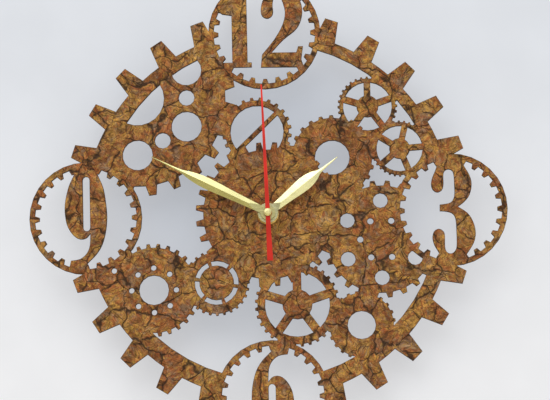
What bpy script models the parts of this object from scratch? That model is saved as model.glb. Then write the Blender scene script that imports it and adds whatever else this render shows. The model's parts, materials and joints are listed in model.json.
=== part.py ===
"""Laser-cut gear wall clock with a battery quartz movement.

The dial is one flat sheet, cut as a toothed rim, overlapping gears and four numeral rings. Behind its
middle sits the quartz movement, whose three coaxial arbors carry the hour, minute and second hands.

Units are metres. The dial faces -Y, +X is to the right and +Z is up. The origin lies on the hands'
axis, at the wall that the movement's rear cover rests on. Plan points are (x, z) pairs as seen from the
front, and depth is the distance from the wall towards the viewer.
"""
import math
from typing import NamedTuple

import bpy
from mathutils import Vector
from mathutils.geometry import delaunay_2d_cdt

# Clearances and fineness
SEAT_GAP = 0.0003
RUN_GAP = 0.00035
CHORD_ERROR = 0.00018
MERGE_DISTANCE = 0.000002
SMOOTH_ANGLE = math.radians(35)

# Dial sheet: toothed rim
SHEET_THICKNESS = 0.003
RIM_ROOT_RADIUS = 0.1159
RIM_TOOTH_HEIGHT = 0.0133
RIM_TEETH = 28
RIM_WIDTH = 0.0098
RIM_WINDOW_SHIFT_X = 0.0011
RIM_WINDOW_SHIFT_Z = 0.0021
TOOTH_BASE_SHARE = 0.50
TOOTH_TIP_SHARE = 0.29
SMALLEST_OPENING = 0.0053
SLIT_SHARE = 0.3

# Dial sheet: central gear that hides the movement
CORE_ROOT_RADIUS = 0.0408
CORE_TOOTH_HEIGHT = 0.0047
CORE_TEETH = 28

# Dial sheet: numeral rings
RING_RADIUS = 0.0354
RING_WIDTH = 0.0034
RING_RIM_BITE = 0.0367
RING_TEETH = 24
RING_TOOTH_HEIGHT = 0.0030
NUMERAL_DRAWN_RADIUS = 32.0

# Battery, an AA cell, which sets the size of the movement
BATTERY_LENGTH = 0.0505
BATTERY_RADIUS = 0.0071
BATTERY_NUB_RADIUS = 0.0027
BATTERY_NUB_LENGTH = 0.0013
BATTERY_REAR = 0.0005
BAY_PLAY = 0.0004

# Movement case
CASE_WALL = 0.0013
CASE_FRONT_WALL = 0.0015
CASE_CORNER = 0.0025
CONTACT_ROOM = 0.00145
BAY_DIVIDER = 0.0010
COVER_THICKNESS = 0.0016
COVER_LIP_WIDTH = 0.0010
COVER_LIP_HEIGHT = 0.0012
HANGER_WIDTH = 0.018
HANGER_HEIGHT = 0.0095
HANGER_THICKNESS = 0.003
HANGER_SLOT_WIDTH = 0.0105
HANGER_SLOT_HEIGHT = 0.0052
HANGER_BAR = 0.0024

# Wheel train
WHEEL_THICKNESS = 0.0008
PINION_LENGTH = 0.0011
ARBOR_RADIUS = 0.0006
PIVOT_RADIUS = 0.0005
BEARING_WALL = 0.00055
BEARING_HEIGHT = 0.0010
CENTRE_MODULE = 0.00036
FIFTH_MODULE = 0.00040
CANNON_MODULE = 0.00036
WHEEL_ADDENDUM = 0.85
PINION_ADDENDUM = 0.75
DEDENDUM = 1.1
WHEEL_SHARES = (0.52, 0.16)
PINION_SHARES = (0.50, 0.20)
CENTRE_TEETH = 48
THIRD_PINION_TEETH = 6
THIRD_TEETH = 45
SECOND_PINION_TEETH = 6
SECOND_TEETH = 36
FIFTH_PINION_TEETH = 6
FIFTH_TEETH = 30
ROTOR_PINION_TEETH = 6
CANNON_TEETH = 12
MINUTE_TEETH = 36
MINUTE_PINION_TEETH = 8
HOUR_TEETH = 32
KNOB_PINION_TEETH = 12
THIRD_DIRECTION = 180.0
FIFTH_DIRECTION = 0.0
ROTOR_DIRECTION = 20.0
MINUTE_DIRECTION = 90.0
KNOB_DIRECTION = 60.0
WHEEL_ROOM_MARGIN = 0.0017

# Coaxial tubes and the bushing that clamps the dial
MINUTE_TUBE_WALL = 0.00055
HOUR_TUBE_WALL = 0.0007
BUSHING_WALL = 0.00105
BUSHING_FLANGE = 0.0012
BUSHING_FLANGE_THICKNESS = 0.0005
BUSHING_PROUD = 0.0015
RUBBER_THICKNESS = 0.0010
RUBBER_WIDTH = 0.0040
WASHER_THICKNESS = 0.0005
WASHER_WIDTH = 0.0026
NUT_THICKNESS = 0.0020
NUT_ACROSS_FLATS = 0.0110

# Middle plate, motor and electronics
PLATE_THICKNESS = 0.0010
PLATE_THIRD_MARGIN = 0.0024
PLATE_KNOB_MARGIN = 0.0021
PLATE_ROTOR_MARGIN = 0.0018
PEG_RADIUS = 0.0008
POST_RADIUS = 0.0014
PEG_INSET = 0.0020
MAGNET_RADIUS = 0.0022
MAGNET_LENGTH = 0.0013
STATOR_THICKNESS = 0.0008
STATOR_COLLAR = 0.0018
STATOR_ARM_WIDTH = 0.0030
COIL_PLATE_GAP = 0.0006
COIL_WALL_GAP = 0.0013
COIL_TOP_INSET = 0.0051
COIL_RADIUS = 0.0034
COIL_FLANGE = 0.0008
COIL_TUBE_RADIUS = 0.0024
CORE_WIDTH = 0.0026
CORE_THICKNESS = 0.0008
BOARD_THICKNESS = 0.0010
BOARD_HEIGHT = 0.0064
BOARD_INSET = 0.0010
BOARD_COIL_GAP = 0.0045
BOARD_PLATE_GAP = 0.0011
CHIP_RADIUS = 0.0022
CHIP_HEIGHT = 0.0012
CRYSTAL_RADIUS = 0.0010
CRYSTAL_LENGTH = 0.0060
CONTACT_THICKNESS = 0.0004
CONTACT_HEIGHT = 0.0080
CONTACT_STRIP = 0.0010

# Setting knob
KNOB_RADIUS = 0.0055
KNOB_THICKNESS = 0.0019
KNOB_RECESS = 0.0006
KNOB_RIBS = 18
KNOB_RIB_HEIGHT = 0.0004
KNOB_STEM_RADIUS = 0.00095
KNOB_CUP_WALL = 0.0010
KNOB_CUP_FLOOR = 0.0008

# Hands
HAND_GAP = 0.0011
HAND_THICKNESS = 0.0006
HAND_RIDGE = 0.0008
HOUR_LENGTH = 0.0560
HOUR_WIDTH = 0.0089
HOUR_ROOT_WIDTH = 0.0050
HOUR_BOSS_RADIUS = 0.0064
HOUR_ANGLE = 52.3
MINUTE_LENGTH = 0.0810
MINUTE_WIDTH = 0.0072
MINUTE_ROOT_WIDTH = 0.0044
MINUTE_BOSS_RADIUS = 0.0047
MINUTE_ANGLE = 297.0
SECOND_LENGTH = 0.0805
SECOND_TAIL = 0.0304
SECOND_TIP_WIDTH = 0.0010
SECOND_HUB_WIDTH = 0.0027
SECOND_TAIL_WIDTH = 0.0037
SECOND_THICKNESS = 0.0005
SECOND_BOSS_RADIUS = 0.0026
SECOND_ANGLE = -1.7
COLLET_WALL = 0.0006
COLLET_HEAD_RADIUS = 0.0027
COLLET_HEAD_HEIGHT = 0.0013


class HoleCircle(NamedTuple):
    """Round holes on a circle inside a dial gear; angles in degrees."""
    count: int
    spread: float
    radius: float
    start: float
    skip: tuple = ()


class DialGear(NamedTuple):
    """One gear shape of the dial sheet. Overlap is its reach past the rim's edge or bite into the core."""
    direction: float
    overlap: float
    root: float
    tooth: float
    teeth: int
    phase: float
    hole: float = 0.0
    circles: tuple = ()


class Spokes(NamedTuple):
    """Openings between the spokes of a dial gear; the angle is the middle of one opening."""
    count: int
    hub: float
    rim: float
    width: float
    angle: float


# Dial gears that hang on the rim. Reach is how far their teeth go past the rim's inner edge.
UPPER_LEFT_ROOT = 0.0555
UPPER_LEFT_TOOTH = 0.0062
UPPER_LEFT_REACH = 0.0658
UPPER_LEFT_HOLE = 0.0168
UPPER_LEFT_LARGE_HOLE = 0.0095
UPPER_LEFT_LARGE_SPREAD = 0.0357
UPPER_LEFT_SMALL_HOLE = 0.0050
UPPER_LEFT_SMALL_SPREAD = 0.0310
UPPER_RIGHT_ROOT = 0.0177
UPPER_RIGHT_TOOTH = 0.0011
UPPER_RIGHT_REACH = 0.0050
UPPER_RIGHT_HUB = 0.0069
UPPER_RIGHT_BAND = 0.0024
UPPER_RIGHT_SPOKE = 0.0042
RIGHT_SMALL_ROOT = 0.0167
RIGHT_SMALL_TOOTH = 0.0010
RIGHT_SMALL_REACH = 0.0038
RIGHT_SMALL_HUB = 0.0065
RIGHT_SMALL_BAND = 0.0023
RIGHT_SMALL_SPOKE = 0.0039
LOWER_RIGHT_ROOT = 0.0201
LOWER_RIGHT_TOOTH = 0.0012
LOWER_RIGHT_REACH = 0.0062
LOWER_RIGHT_HOLE = 0.0088
LOWER_LEFT_ROOT = 0.02675
LOWER_LEFT_TOOTH = 0.0024
LOWER_LEFT_REACH = 0.0090
LOWER_LEFT_HOLE = 0.0093
LOWER_LEFT_SMALL_HOLE = 0.00175
LOWER_LEFT_SMALL_SPREAD = 0.0140

# Dial gears on the central gear. Bite is how far their teeth go into it. The right gear ties the central
# gear to the rim, so it has both, and its size follows from them.
RIGHT_REACH = 0.0034
RIGHT_BITE = 0.0099
RIGHT_TOOTH = 0.0032
RIGHT_LARGE_HOLE = 0.00465
RIGHT_LARGE_INSET = 0.0095
RIGHT_SMALL_HOLE = 0.0020
RIGHT_SMALL_SPREAD = 0.0131
TOP_ROOT = 0.0201
TOP_TOOTH = 0.0018
TOP_BITE = 0.0150
TOP_BAND = 0.0034
TOP_BAR_WIDTH = 0.0028
UPPER_CORE_ROOT = 0.0251
UPPER_CORE_TOOTH = 0.0017
UPPER_CORE_BITE = 0.0186
UPPER_CORE_HOLE = 0.0109
BOTTOM_ROOT = 0.0250
BOTTOM_TOOTH = 0.0016
BOTTOM_BITE = 0.0125
BOTTOM_HUB = 0.0094
BOTTOM_BAND = 0.0047
BOTTOM_SPOKE = 0.0054
SLOTTED_ROOT = 0.0193
SLOTTED_TOOTH = 0.0014
SLOTTED_BITE = 0.0123
SLOT_INSET = 0.0070
SLOT_WIDTH = 0.0029
SLOT_BRIDGE = 0.0022
LONE_HOLE_INSET = 0.0131
LONE_HOLE_RADIUS = 0.00175

CORE_TIP_RADIUS = CORE_ROOT_RADIUS + CORE_TOOTH_HEIGHT
RIGHT_TIP = (RIM_ROOT_RADIUS - RIM_WIDTH + RIGHT_REACH - CORE_TIP_RADIUS + RIGHT_BITE) / 2
RIGHT_ROOT = RIGHT_TIP - RIGHT_TOOTH

UPPER_LEFT_HOLES = (
    HoleCircle(6, UPPER_LEFT_LARGE_SPREAD, UPPER_LEFT_LARGE_HOLE, 29.3),
    HoleCircle(6, UPPER_LEFT_SMALL_SPREAD, UPPER_LEFT_SMALL_HOLE, 0.0),
)
GEAR_UPPER_LEFT = DialGear(137.2, UPPER_LEFT_REACH, UPPER_LEFT_ROOT, UPPER_LEFT_TOOTH, 24, 278.1,
                           UPPER_LEFT_HOLE, UPPER_LEFT_HOLES)
GEAR_UPPER_RIGHT = DialGear(46.2, UPPER_RIGHT_REACH, UPPER_RIGHT_ROOT, UPPER_RIGHT_TOOTH, 32, 0.0)
GEAR_RIGHT_SMALL = DialGear(25.3, RIGHT_SMALL_REACH, RIGHT_SMALL_ROOT, RIGHT_SMALL_TOOTH, 32, 0.0)
GEAR_LOWER_RIGHT = DialGear(-51.3, LOWER_RIGHT_REACH, LOWER_RIGHT_ROOT, LOWER_RIGHT_TOOTH, 24, 7.5,
                            LOWER_RIGHT_HOLE)
LOWER_LEFT_HOLES = (HoleCircle(8, LOWER_LEFT_SMALL_SPREAD, LOWER_LEFT_SMALL_HOLE, 0.0),)
GEAR_LOWER_LEFT = DialGear(212.5, LOWER_LEFT_REACH, LOWER_LEFT_ROOT, LOWER_LEFT_TOOTH, 28, 6.43,
                           LOWER_LEFT_HOLE, LOWER_LEFT_HOLES)
GEAR_RIGHT = DialGear(-13.9, RIGHT_REACH, RIGHT_ROOT, RIGHT_TOOTH, 24, 7.5, 0.0, (
    HoleCircle(6, RIGHT_ROOT - RIGHT_LARGE_INSET, RIGHT_LARGE_HOLE, 90.0),
    HoleCircle(6, RIGHT_SMALL_SPREAD, RIGHT_SMALL_HOLE, 0.0, (0,)),
))
GEAR_TOP = DialGear(96.5, TOP_BITE, TOP_ROOT, TOP_TOOTH, 24, 8.0, TOP_ROOT - TOP_BAND)
GEAR_UPPER_CORE = DialGear(40.3, UPPER_CORE_BITE, UPPER_CORE_ROOT, UPPER_CORE_TOOTH, 24, 0.0, UPPER_CORE_HOLE)
GEAR_BOTTOM = DialGear(-73.4, BOTTOM_BITE, BOTTOM_ROOT, BOTTOM_TOOTH, 32, 5.6)
GEAR_SLOTTED = DialGear(232.0, SLOTTED_BITE, SLOTTED_ROOT, SLOTTED_TOOTH, 28, 0.0)

UPPER_RIGHT_SPOKES = Spokes(5, UPPER_RIGHT_HUB, UPPER_RIGHT_ROOT - UPPER_RIGHT_BAND, UPPER_RIGHT_SPOKE, -90.0)
RIGHT_SMALL_SPOKES = Spokes(5, RIGHT_SMALL_HUB, RIGHT_SMALL_ROOT - RIGHT_SMALL_BAND, RIGHT_SMALL_SPOKE, 39.6)
BOTTOM_SPOKES = Spokes(5, BOTTOM_HUB, BOTTOM_ROOT - BOTTOM_BAND, BOTTOM_SPOKE, -90.0)
TOP_BAR_ANGLE = 43.3
SLOT_COUNT = 6
SLOT_ANGLE = 19.3
LONE_HOLE_ANGLE = 199.0

# Numerals in millimetres about the ring's centre. Each stretch is a line or a smooth curve through its
# points, and the ends run into the ring.
NINE = (
    ("curve", ((-5.0, 33.0), (-7.3, 27.1), (-10.5, 20.2), (-12.7, 11.2), (-13.1, 4.2), (-12.0, -3.4),
               (-9.2, -9.0), (-6.0, -12.1), (-3.0, -13.1), (-0.1, -12.5), (1.7, -10.9), (2.8, -9.4))),
    ("curve", ((2.8, -9.4), (2.3, -17.2), (0.2, -22.2), (-3.9, -25.5), (-9.6, -26.4))),
    ("line", ((-9.6, -26.4), (-10.9, -31.6), (-3.0, -33.2))),
    ("curve", ((-3.0, -33.2), (1.0, -28.1), (6.4, -22.7), (10.3, -16.3), (12.7, -7.4), (13.4, 1.1),
               (12.9, 8.7), (11.4, 18.7), (8.2, 26.8), (5.4, 33.0))),
)
NINE_COUNTER = ((0.55, -5.9), (0.55, 24.2), 2.2)
THREE = (
    ("curve", ((-7.4, 32.6), (-8.6, 26.6), (-11.3, 20.4), (-12.1, 16.1), (-11.0, 12.6), (-8.2, 11.1),
               (-5.3, 12.6), (-4.3, 16.1), (-4.3, 21.6), (-3.4, 24.4), (-1.2, 25.5), (1.2, 24.6),
               (2.2, 21.8), (2.4, 15.0), (2.2, 8.6), (0.0, 4.6), (-4.7, 3.5))),
    ("line", ((-4.7, 3.5), (-7.0, 3.3), (-7.1, -0.7), (-4.2, -0.9))),
    ("curve", ((-4.2, -0.9), (0.2, -2.1), (2.6, -5.6), (3.0, -14.0), (2.9, -22.6), (1.6, -26.2),
               (-0.8, -27.6), (-3.3, -26.6), (-4.4, -23.4), (-4.3, -16.2), (-5.3, -13.4), (-8.1, -11.9),
               (-11.1, -13.6), (-12.1, -17.6), (-10.9, -22.4), (-8.4, -26.9), (-7.2, -32.8))),
    ("line", ((-7.2, -32.8), (5.6, -33.2))),
    ("curve", ((5.6, -33.2), (9.1, -28.3), (13.8, -20.9), (15.0, -14.4), (13.6, -7.9), (10.2, -2.3),
               (4.3, 1.8))),
    ("curve", ((4.3, 1.8), (8.4, 4.8), (11.9, 9.2), (13.3, 15.6), (12.2, 21.2), (8.9, 27.3), (6.0, 33.0))),
)
ONE = (
    ("line", ((-10.9, 31.6), (-19.0, 27.6), (-25.4, 21.8), (-29.8, 15.6), (-26.4, 13.0), (-20.5, 12.0),
              (-20.5, -18.1), (-27.2, -18.1), (-25.4, -21.2), (-8.3, -21.2), (-8.3, -18.3),
              (-10.9, -18.1))),
)
TWO = (
    ("curve", ((13.0, 30.6), (7.4, 29.4), (2.4, 26.0), (-0.8, 20.4), (-1.95, 14.4), (-0.9, 11.0),
               (2.0, 9.6), (4.9, 11.0), (5.9, 13.9), (5.6, 18.6), (6.6, 23.0), (9.0, 24.4), (11.2, 21.9),
               (13.3, 13.6), (11.7, 5.5), (6.2, -4.0), (-1.7, -13.5))),
    ("line", ((-1.7, -13.5), (-2.6, -21.5), (24.6, -21.9), (23.0, -17.0), (24.2, -8.7), (21.2, -8.7),
              (19.9, -12.5), (4.1, -12.3))),
    ("curve", ((4.1, -12.3), (12.0, -4.1), (19.3, 1.5), (22.8, 6.7), (24.3, 13.4), (23.2, 20.2),
               (20.0, 26.4))),
)

# Finishes: base colour, metallic and roughness
RUSTED_BROWN = ((0.29, 0.14, 0.05), 0.0, 0.65)
PALE_GOLD = ((0.80, 0.72, 0.42), 1.0, 0.30)
SIGNAL_RED = ((0.60, 0.03, 0.03), 0.0, 0.40)
BRASS = ((0.72, 0.53, 0.22), 1.0, 0.32)
BLACK_RUBBER = ((0.03, 0.03, 0.03), 0.0, 0.85)
BLACK_PLASTIC = ((0.035, 0.035, 0.04), 0.0, 0.50)
WHITE_PLASTIC = ((0.80, 0.80, 0.76), 0.0, 0.45)
STEEL = ((0.58, 0.58, 0.60), 1.0, 0.35)
COPPER = ((0.62, 0.28, 0.13), 1.0, 0.38)
BOARD_GREEN = ((0.04, 0.22, 0.10), 0.0, 0.50)
EPOXY_BLACK = ((0.02, 0.02, 0.02), 0.0, 0.35)
CELL_GREY = ((0.30, 0.31, 0.33), 0.6, 0.35)

# Modules that give both meshes of a coaxial pair the same centre distance
THIRD_DISTANCE = CENTRE_MODULE * (CENTRE_TEETH + THIRD_PINION_TEETH) / 2
THIRD_MODULE = 2 * THIRD_DISTANCE / (THIRD_TEETH + SECOND_PINION_TEETH)
MINUTE_DISTANCE = CANNON_MODULE * (CANNON_TEETH + MINUTE_TEETH) / 2
HOUR_MODULE = 2 * MINUTE_DISTANCE / (HOUR_TEETH + MINUTE_PINION_TEETH)
FIFTH_DISTANCE = FIFTH_MODULE * (SECOND_TEETH + FIFTH_PINION_TEETH) / 2
ROTOR_DISTANCE = FIFTH_MODULE * (FIFTH_TEETH + ROTOR_PINION_TEETH) / 2
KNOB_DISTANCE = CANNON_MODULE * (MINUTE_TEETH + KNOB_PINION_TEETH) / 2

# Plan places of the train that the case has to enclose
CENTRE_WHEEL_TIP = CENTRE_MODULE * (CENTRE_TEETH / 2 + WHEEL_ADDENDUM)
THIRD_WHEEL_TIP = THIRD_MODULE * (THIRD_TEETH / 2 + WHEEL_ADDENDUM)
THIRD_X = THIRD_DISTANCE * math.cos(math.radians(THIRD_DIRECTION))
FIFTH_X = FIFTH_DISTANCE * math.cos(math.radians(FIFTH_DIRECTION))
ROTOR_X = FIFTH_X + ROTOR_DISTANCE * math.cos(math.radians(ROTOR_DIRECTION))
MINUTE_Z = MINUTE_DISTANCE * math.sin(math.radians(MINUTE_DIRECTION))
KNOB_Z = MINUTE_Z + KNOB_DISTANCE * math.sin(math.radians(KNOB_DIRECTION))
PLATE_LEFT = THIRD_X - THIRD_WHEEL_TIP - PLATE_THIRD_MARGIN
PLATE_RIGHT = ROTOR_X + PLATE_ROTOR_MARGIN
PLATE_HIGH = KNOB_Z + PLATE_KNOB_MARGIN
COIL_X = PLATE_RIGHT + COIL_PLATE_GAP + COIL_RADIUS
BOARD_LOW = PLATE_HIGH + BOARD_PLATE_GAP
BOARD_HIGH = BOARD_LOW + BOARD_HEIGHT

# Sizes of the case worked out from the cell, the train and the coil
CASE_DEPTH = BATTERY_REAR + 2 * BATTERY_RADIUS + SEAT_GAP + CASE_FRONT_WALL
INSIDE_HALF_WIDTH = max(BATTERY_LENGTH / 2 + CONTACT_ROOM, COIL_X + COIL_RADIUS + COIL_WALL_GAP,
                        COIL_WALL_GAP - PLATE_LEFT)
CASE_HALF_WIDTH = INSIDE_HALF_WIDTH + CASE_WALL
INSIDE_TOP = BOARD_HIGH + BOARD_INSET
CASE_TOP = INSIDE_TOP + CASE_WALL
INSIDE_FRONT = CASE_DEPTH - CASE_FRONT_WALL
CASE_REAR = COVER_THICKNESS + SEAT_GAP
GEAR_FLOOR = -(max(CENTRE_WHEEL_TIP, THIRD_WHEEL_TIP) + WHEEL_ROOM_MARGIN)
BAY_TOP = GEAR_FLOOR - BAY_DIVIDER
BAY_BOTTOM = BAY_TOP - 2 * (BATTERY_RADIUS + BAY_PLAY)
CASE_BOTTOM = BAY_BOTTOM - CASE_WALL
BATTERY_Z = (BAY_TOP + BAY_BOTTOM) / 2

# Depths of the train's layers, evenly spread between the cover and the front wall
TRAIN_STEP = (INSIDE_FRONT - COVER_THICKNESS) / 8
FIFTH_LAYER = COVER_THICKNESS + 1.15 * TRAIN_STEP
SECOND_LAYER = FIFTH_LAYER + TRAIN_STEP
PLATE_LAYER = SECOND_LAYER + TRAIN_STEP
THIRD_LAYER = PLATE_LAYER + TRAIN_STEP
CENTRE_LAYER = THIRD_LAYER + TRAIN_STEP
CANNON_LAYER = CENTRE_LAYER + TRAIN_STEP
HOUR_LAYER = CANNON_LAYER + TRAIN_STEP
PLATE_REAR = PLATE_LAYER - PLATE_THICKNESS / 2
PLATE_FRONT = PLATE_LAYER + PLATE_THICKNESS / 2
PIVOT_REAR = COVER_THICKNESS + SEAT_GAP
PIVOT_FRONT = INSIDE_FRONT - SEAT_GAP

# Radii of the coaxial tubes, each running clear of the one inside it
MINUTE_BORE = ARBOR_RADIUS + RUN_GAP
MINUTE_TUBE = MINUTE_BORE + MINUTE_TUBE_WALL
HOUR_BORE = MINUTE_TUBE + RUN_GAP
HOUR_TUBE = HOUR_BORE + HOUR_TUBE_WALL
BUSHING_BORE = HOUR_TUBE + RUN_GAP
BUSHING_RADIUS = BUSHING_BORE + BUSHING_WALL
CLAMP_BORE = BUSHING_RADIUS + SEAT_GAP

# Depths of what is clamped in front of the case
RUBBER_REAR = CASE_DEPTH + SEAT_GAP
SHEET_REAR = RUBBER_REAR + RUBBER_THICKNESS + SEAT_GAP
SHEET_FRONT = SHEET_REAR + SHEET_THICKNESS
WASHER_REAR = SHEET_FRONT + SEAT_GAP
NUT_REAR = WASHER_REAR + WASHER_THICKNESS + SEAT_GAP
BUSHING_FRONT = NUT_REAR + NUT_THICKNESS + BUSHING_PROUD
HOUR_HAND_REAR = BUSHING_FRONT + HAND_GAP
MINUTE_HAND_REAR = HOUR_HAND_REAR + HAND_THICKNESS + HAND_RIDGE + HAND_GAP
SECOND_HAND_REAR = MINUTE_HAND_REAR + HAND_THICKNESS + HAND_RIDGE + HAND_GAP
COLLET_HEAD_REAR = SECOND_HAND_REAR + SECOND_THICKNESS + SEAT_GAP

CENTRE = (0.0, 0.0)


def clear_scene():
    """Removes every object of the open file."""
    for old in list(bpy.data.objects):
        bpy.data.objects.remove(old, do_unlink=True)


def finish(name, look):
    """A plain Principled material of one finish."""
    colour, metallic, roughness = look
    material = bpy.data.materials.new(name)
    material.use_nodes = True
    shader = material.node_tree.nodes["Principled BSDF"]
    shader.inputs["Base Color"].default_value = (*colour, 1.0)
    shader.inputs["Metallic"].default_value = metallic
    shader.inputs["Roughness"].default_value = roughness
    return material


def place_mesh(name, look, vertices, faces, at=CENTRE, rotation=(0.0, 0.0, 0.0), depth=0.0):
    """Makes a named object of a closed mesh, with its origin at a plan point and depth."""
    mesh = bpy.data.meshes.new(name)
    mesh.from_pydata(vertices, [], faces)
    mesh.shade_smooth()
    mesh.set_sharp_from_angle(angle=SMOOTH_ANGLE)
    mesh.materials.append(finish(name, look))
    piece = bpy.data.objects.new(name, mesh)
    piece.location = (at[0], -depth, at[1])
    piece.rotation_euler = rotation
    bpy.context.scene.collection.objects.link(piece)
    return piece


def polar(center, radius, degrees):
    """The plan point at a distance and direction from a centre."""
    angle = math.radians(degrees)
    return (center[0] + radius * math.cos(angle), center[1] + radius * math.sin(angle))


def sides_for(radius):
    """How many sides a circle needs to stay within the chord error."""
    return max(10, math.ceil(math.pi / math.acos(1.0 - CHORD_ERROR / radius)))


def circle(center, radius, start=0.0):
    """A round outline."""
    sides = sides_for(radius)
    return [polar(center, radius, start + 360.0 * i / sides) for i in range(sides)]


def arc(center, radius, start, end):
    """Points along an arc, both ends included."""
    steps = max(1, math.ceil(sides_for(radius) * abs(end - start) / 360.0))
    return [polar(center, radius, start + (end - start) * i / steps) for i in range(steps + 1)]


def gear_outline(center, root, tip, teeth, phase, shares):
    """A gear with straight-sided teeth; shares are the tooth's width over the pitch at base and tip."""
    base_share, tip_share = shares
    pitch = 360.0 / teeth
    outline = []
    for i in range(teeth):
        middle = phase + i * pitch
        outline.append(polar(center, root, middle - base_share * pitch / 2))
        outline += arc(center, tip, middle - tip_share * pitch / 2, middle + tip_share * pitch / 2)
        gap = arc(center, root, middle + base_share * pitch / 2, middle + (1 - base_share / 2) * pitch)
        outline += gap[:-1]
    return outline


def box(left, right, low, high):
    """A rectangular outline."""
    return [(left, low), (right, low), (right, high), (left, high)]


def rounded_box(left, right, low, high, radius):
    """A rectangular outline with round corners."""
    outline = []
    for x, z, start in ((right - radius, high - radius, 0), (left + radius, high - radius, 90),
                        (left + radius, low + radius, 180), (right - radius, low + radius, 270)):
        outline += arc((x, z), radius, start, start + 90)
    return outline


def capsule(first, last, radius):
    """A slot outline with round ends, from one end's centre to the other's."""
    heading = math.degrees(math.atan2(last[1] - first[1], last[0] - first[0]))
    return arc(last, radius, heading - 90, heading + 90) + arc(first, radius, heading + 90, heading + 270)


def strip(path, width):
    """The outline of a thin strip that follows a path."""
    left, right = [], []
    for i, (x, z) in enumerate(path):
        before = path[max(i - 1, 0)]
        after = path[min(i + 1, len(path) - 1)]
        incoming = math.atan2(z - before[1], x - before[0]) if i > 0 else None
        outgoing = math.atan2(after[1] - z, after[0] - x) if i < len(path) - 1 else incoming
        incoming = outgoing if incoming is None else incoming
        turn = (outgoing - incoming + math.pi) % (2 * math.pi) - math.pi
        middle = incoming + turn / 2
        reach = width / 2 / math.cos(turn / 2)
        left.append((x - reach * math.sin(middle), z + reach * math.cos(middle)))
        right.append((x + reach * math.sin(middle), z - reach * math.cos(middle)))
    return left + right[::-1]


def smooth_through(points, steps):
    """A smooth curve through points, with a few steps to each span."""
    curve = []
    last = len(points) - 1
    for i in range(last):
        p0 = points[max(i - 1, 0)]
        p1 = points[i]
        p2 = points[i + 1]
        p3 = points[min(i + 2, last)]
        for step in range(steps):
            t = step / steps
            curve.append(tuple(
                0.5 * (2 * b + (c - a) * t + (2 * a - 5 * b + 4 * c - d) * t * t
                       + (3 * b - 3 * c + d - a) * t ** 3)
                for a, b, c, d in zip(p0, p1, p2, p3)
            ))
    curve.append(points[last])
    return curve


def outline_area(outline):
    """The area of an outline, above zero where it runs anticlockwise."""
    return sum(a[0] * b[1] - b[0] * a[1] for a, b in zip(outline, outline[1:] + outline[:1])) / 2


class Solid:
    """A solid built from flat outlines, each added or cut over a span of depth, in order."""

    def __init__(self, smallest_opening=0.0):
        self.steps = []
        self.smallest_opening = smallest_opening

    def add(self, outline, rear, front, within=None):
        """Adds material inside an outline, and inside another one if it is named."""
        self.steps.append((True, outline, rear, front, within))

    def cut(self, outline, rear, front, within=None):
        """Cuts material away inside an outline, and inside another one if it is named."""
        self.steps.append((False, outline, rear, front, within))

    def _plan(self):
        """Triangles of the plan, with the outlines that each of them lies in."""
        numbers = {}
        points, faces = [], []
        for _, outline, _, _, within in self.steps:
            for shape in (outline, within):
                if shape is None or id(shape) in numbers:
                    continue
                numbers[id(shape)] = len(faces)
                faces.append(list(range(len(points), len(points) + len(shape))))
                points += shape if outline_area(shape) > 0 else shape[::-1]
        plan = delaunay_2d_cdt(points, [], faces, 1, MERGE_DISTANCE, True)
        return plan[0], plan[2], [set(owner) for owner in plan[5]], numbers

    def _pattern(self, owner, numbers, middles):
        """At which of the depths one triangle of the plan holds material."""
        pattern = []
        for middle in middles:
            state = False
            for adds, outline, rear, front, within in self.steps:
                covers = rear < middle < front and numbers[id(outline)] in owner
                if covers and (within is None or numbers[id(within)] in owner):
                    state = adds
            pattern.append(state)
        return tuple(pattern)

    def mesh(self, lift=None, creases=()):
        """Vertices and faces of the closed solid. A lift raises points of the front face."""
        plan, triangles, owners, numbers = self._plan()
        depths = [depth for step in self.steps for depth in step[2:4]]
        levels = sorted({round(depth, 7) for depth in depths})
        middles = [(a + b) / 2 for a, b in zip(levels, levels[1:])]
        patterns = [self._pattern(owner, numbers, middles) for owner in owners]
        if self.smallest_opening:
            cuts = {numbers[id(step[1])]: outline_area(step[1]) for step in self.steps if not step[0]}
            patterns = without_slits(plan, triangles, patterns, owners, cuts, self.smallest_opening ** 2)
        plan, triangles, patterns = only_borders(plan, triangles, patterns, creases)
        slabs = [[False] * len(triangles)]
        slabs += [[pattern[i] for pattern in patterns] for i in range(len(middles))]
        slabs.append([False] * len(triangles))
        faces = []
        for level in range(len(levels)):
            for t, corners in enumerate(triangles):
                behind, ahead = slabs[level][t], slabs[level + 1][t]
                if behind and not ahead:
                    faces.append([(v, level) for v in corners])
                elif ahead and not behind:
                    faces.append([(v, level) for v in reversed(corners)])
        faces += side_faces(triangles, slabs, faces)
        numbering = {}
        for face in faces:
            for corner in face:
                numbering.setdefault(corner, len(numbering))
        vertices = []
        for v, level in numbering:
            depth = levels[level]
            if lift and level == len(levels) - 1:
                depth += lift(plan[v])
            vertices.append((plan[v][0], -depth, plan[v][1]))
        return vertices, [[numbering[corner] for corner in face] for face in faces]

    def build(self, name, look, at=CENTRE, turn=0.0, lift=None, creases=()):
        """Makes the object at a plan point, turned clockwise by an angle in degrees."""
        vertices, faces = self.mesh(lift, creases)
        return place_mesh(name, look, vertices, faces, at, (0.0, math.radians(turn), 0.0))


def edges_of(corners):
    """The directed edges around a triangle."""
    return zip(corners, list(corners[1:]) + [corners[0]])


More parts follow.
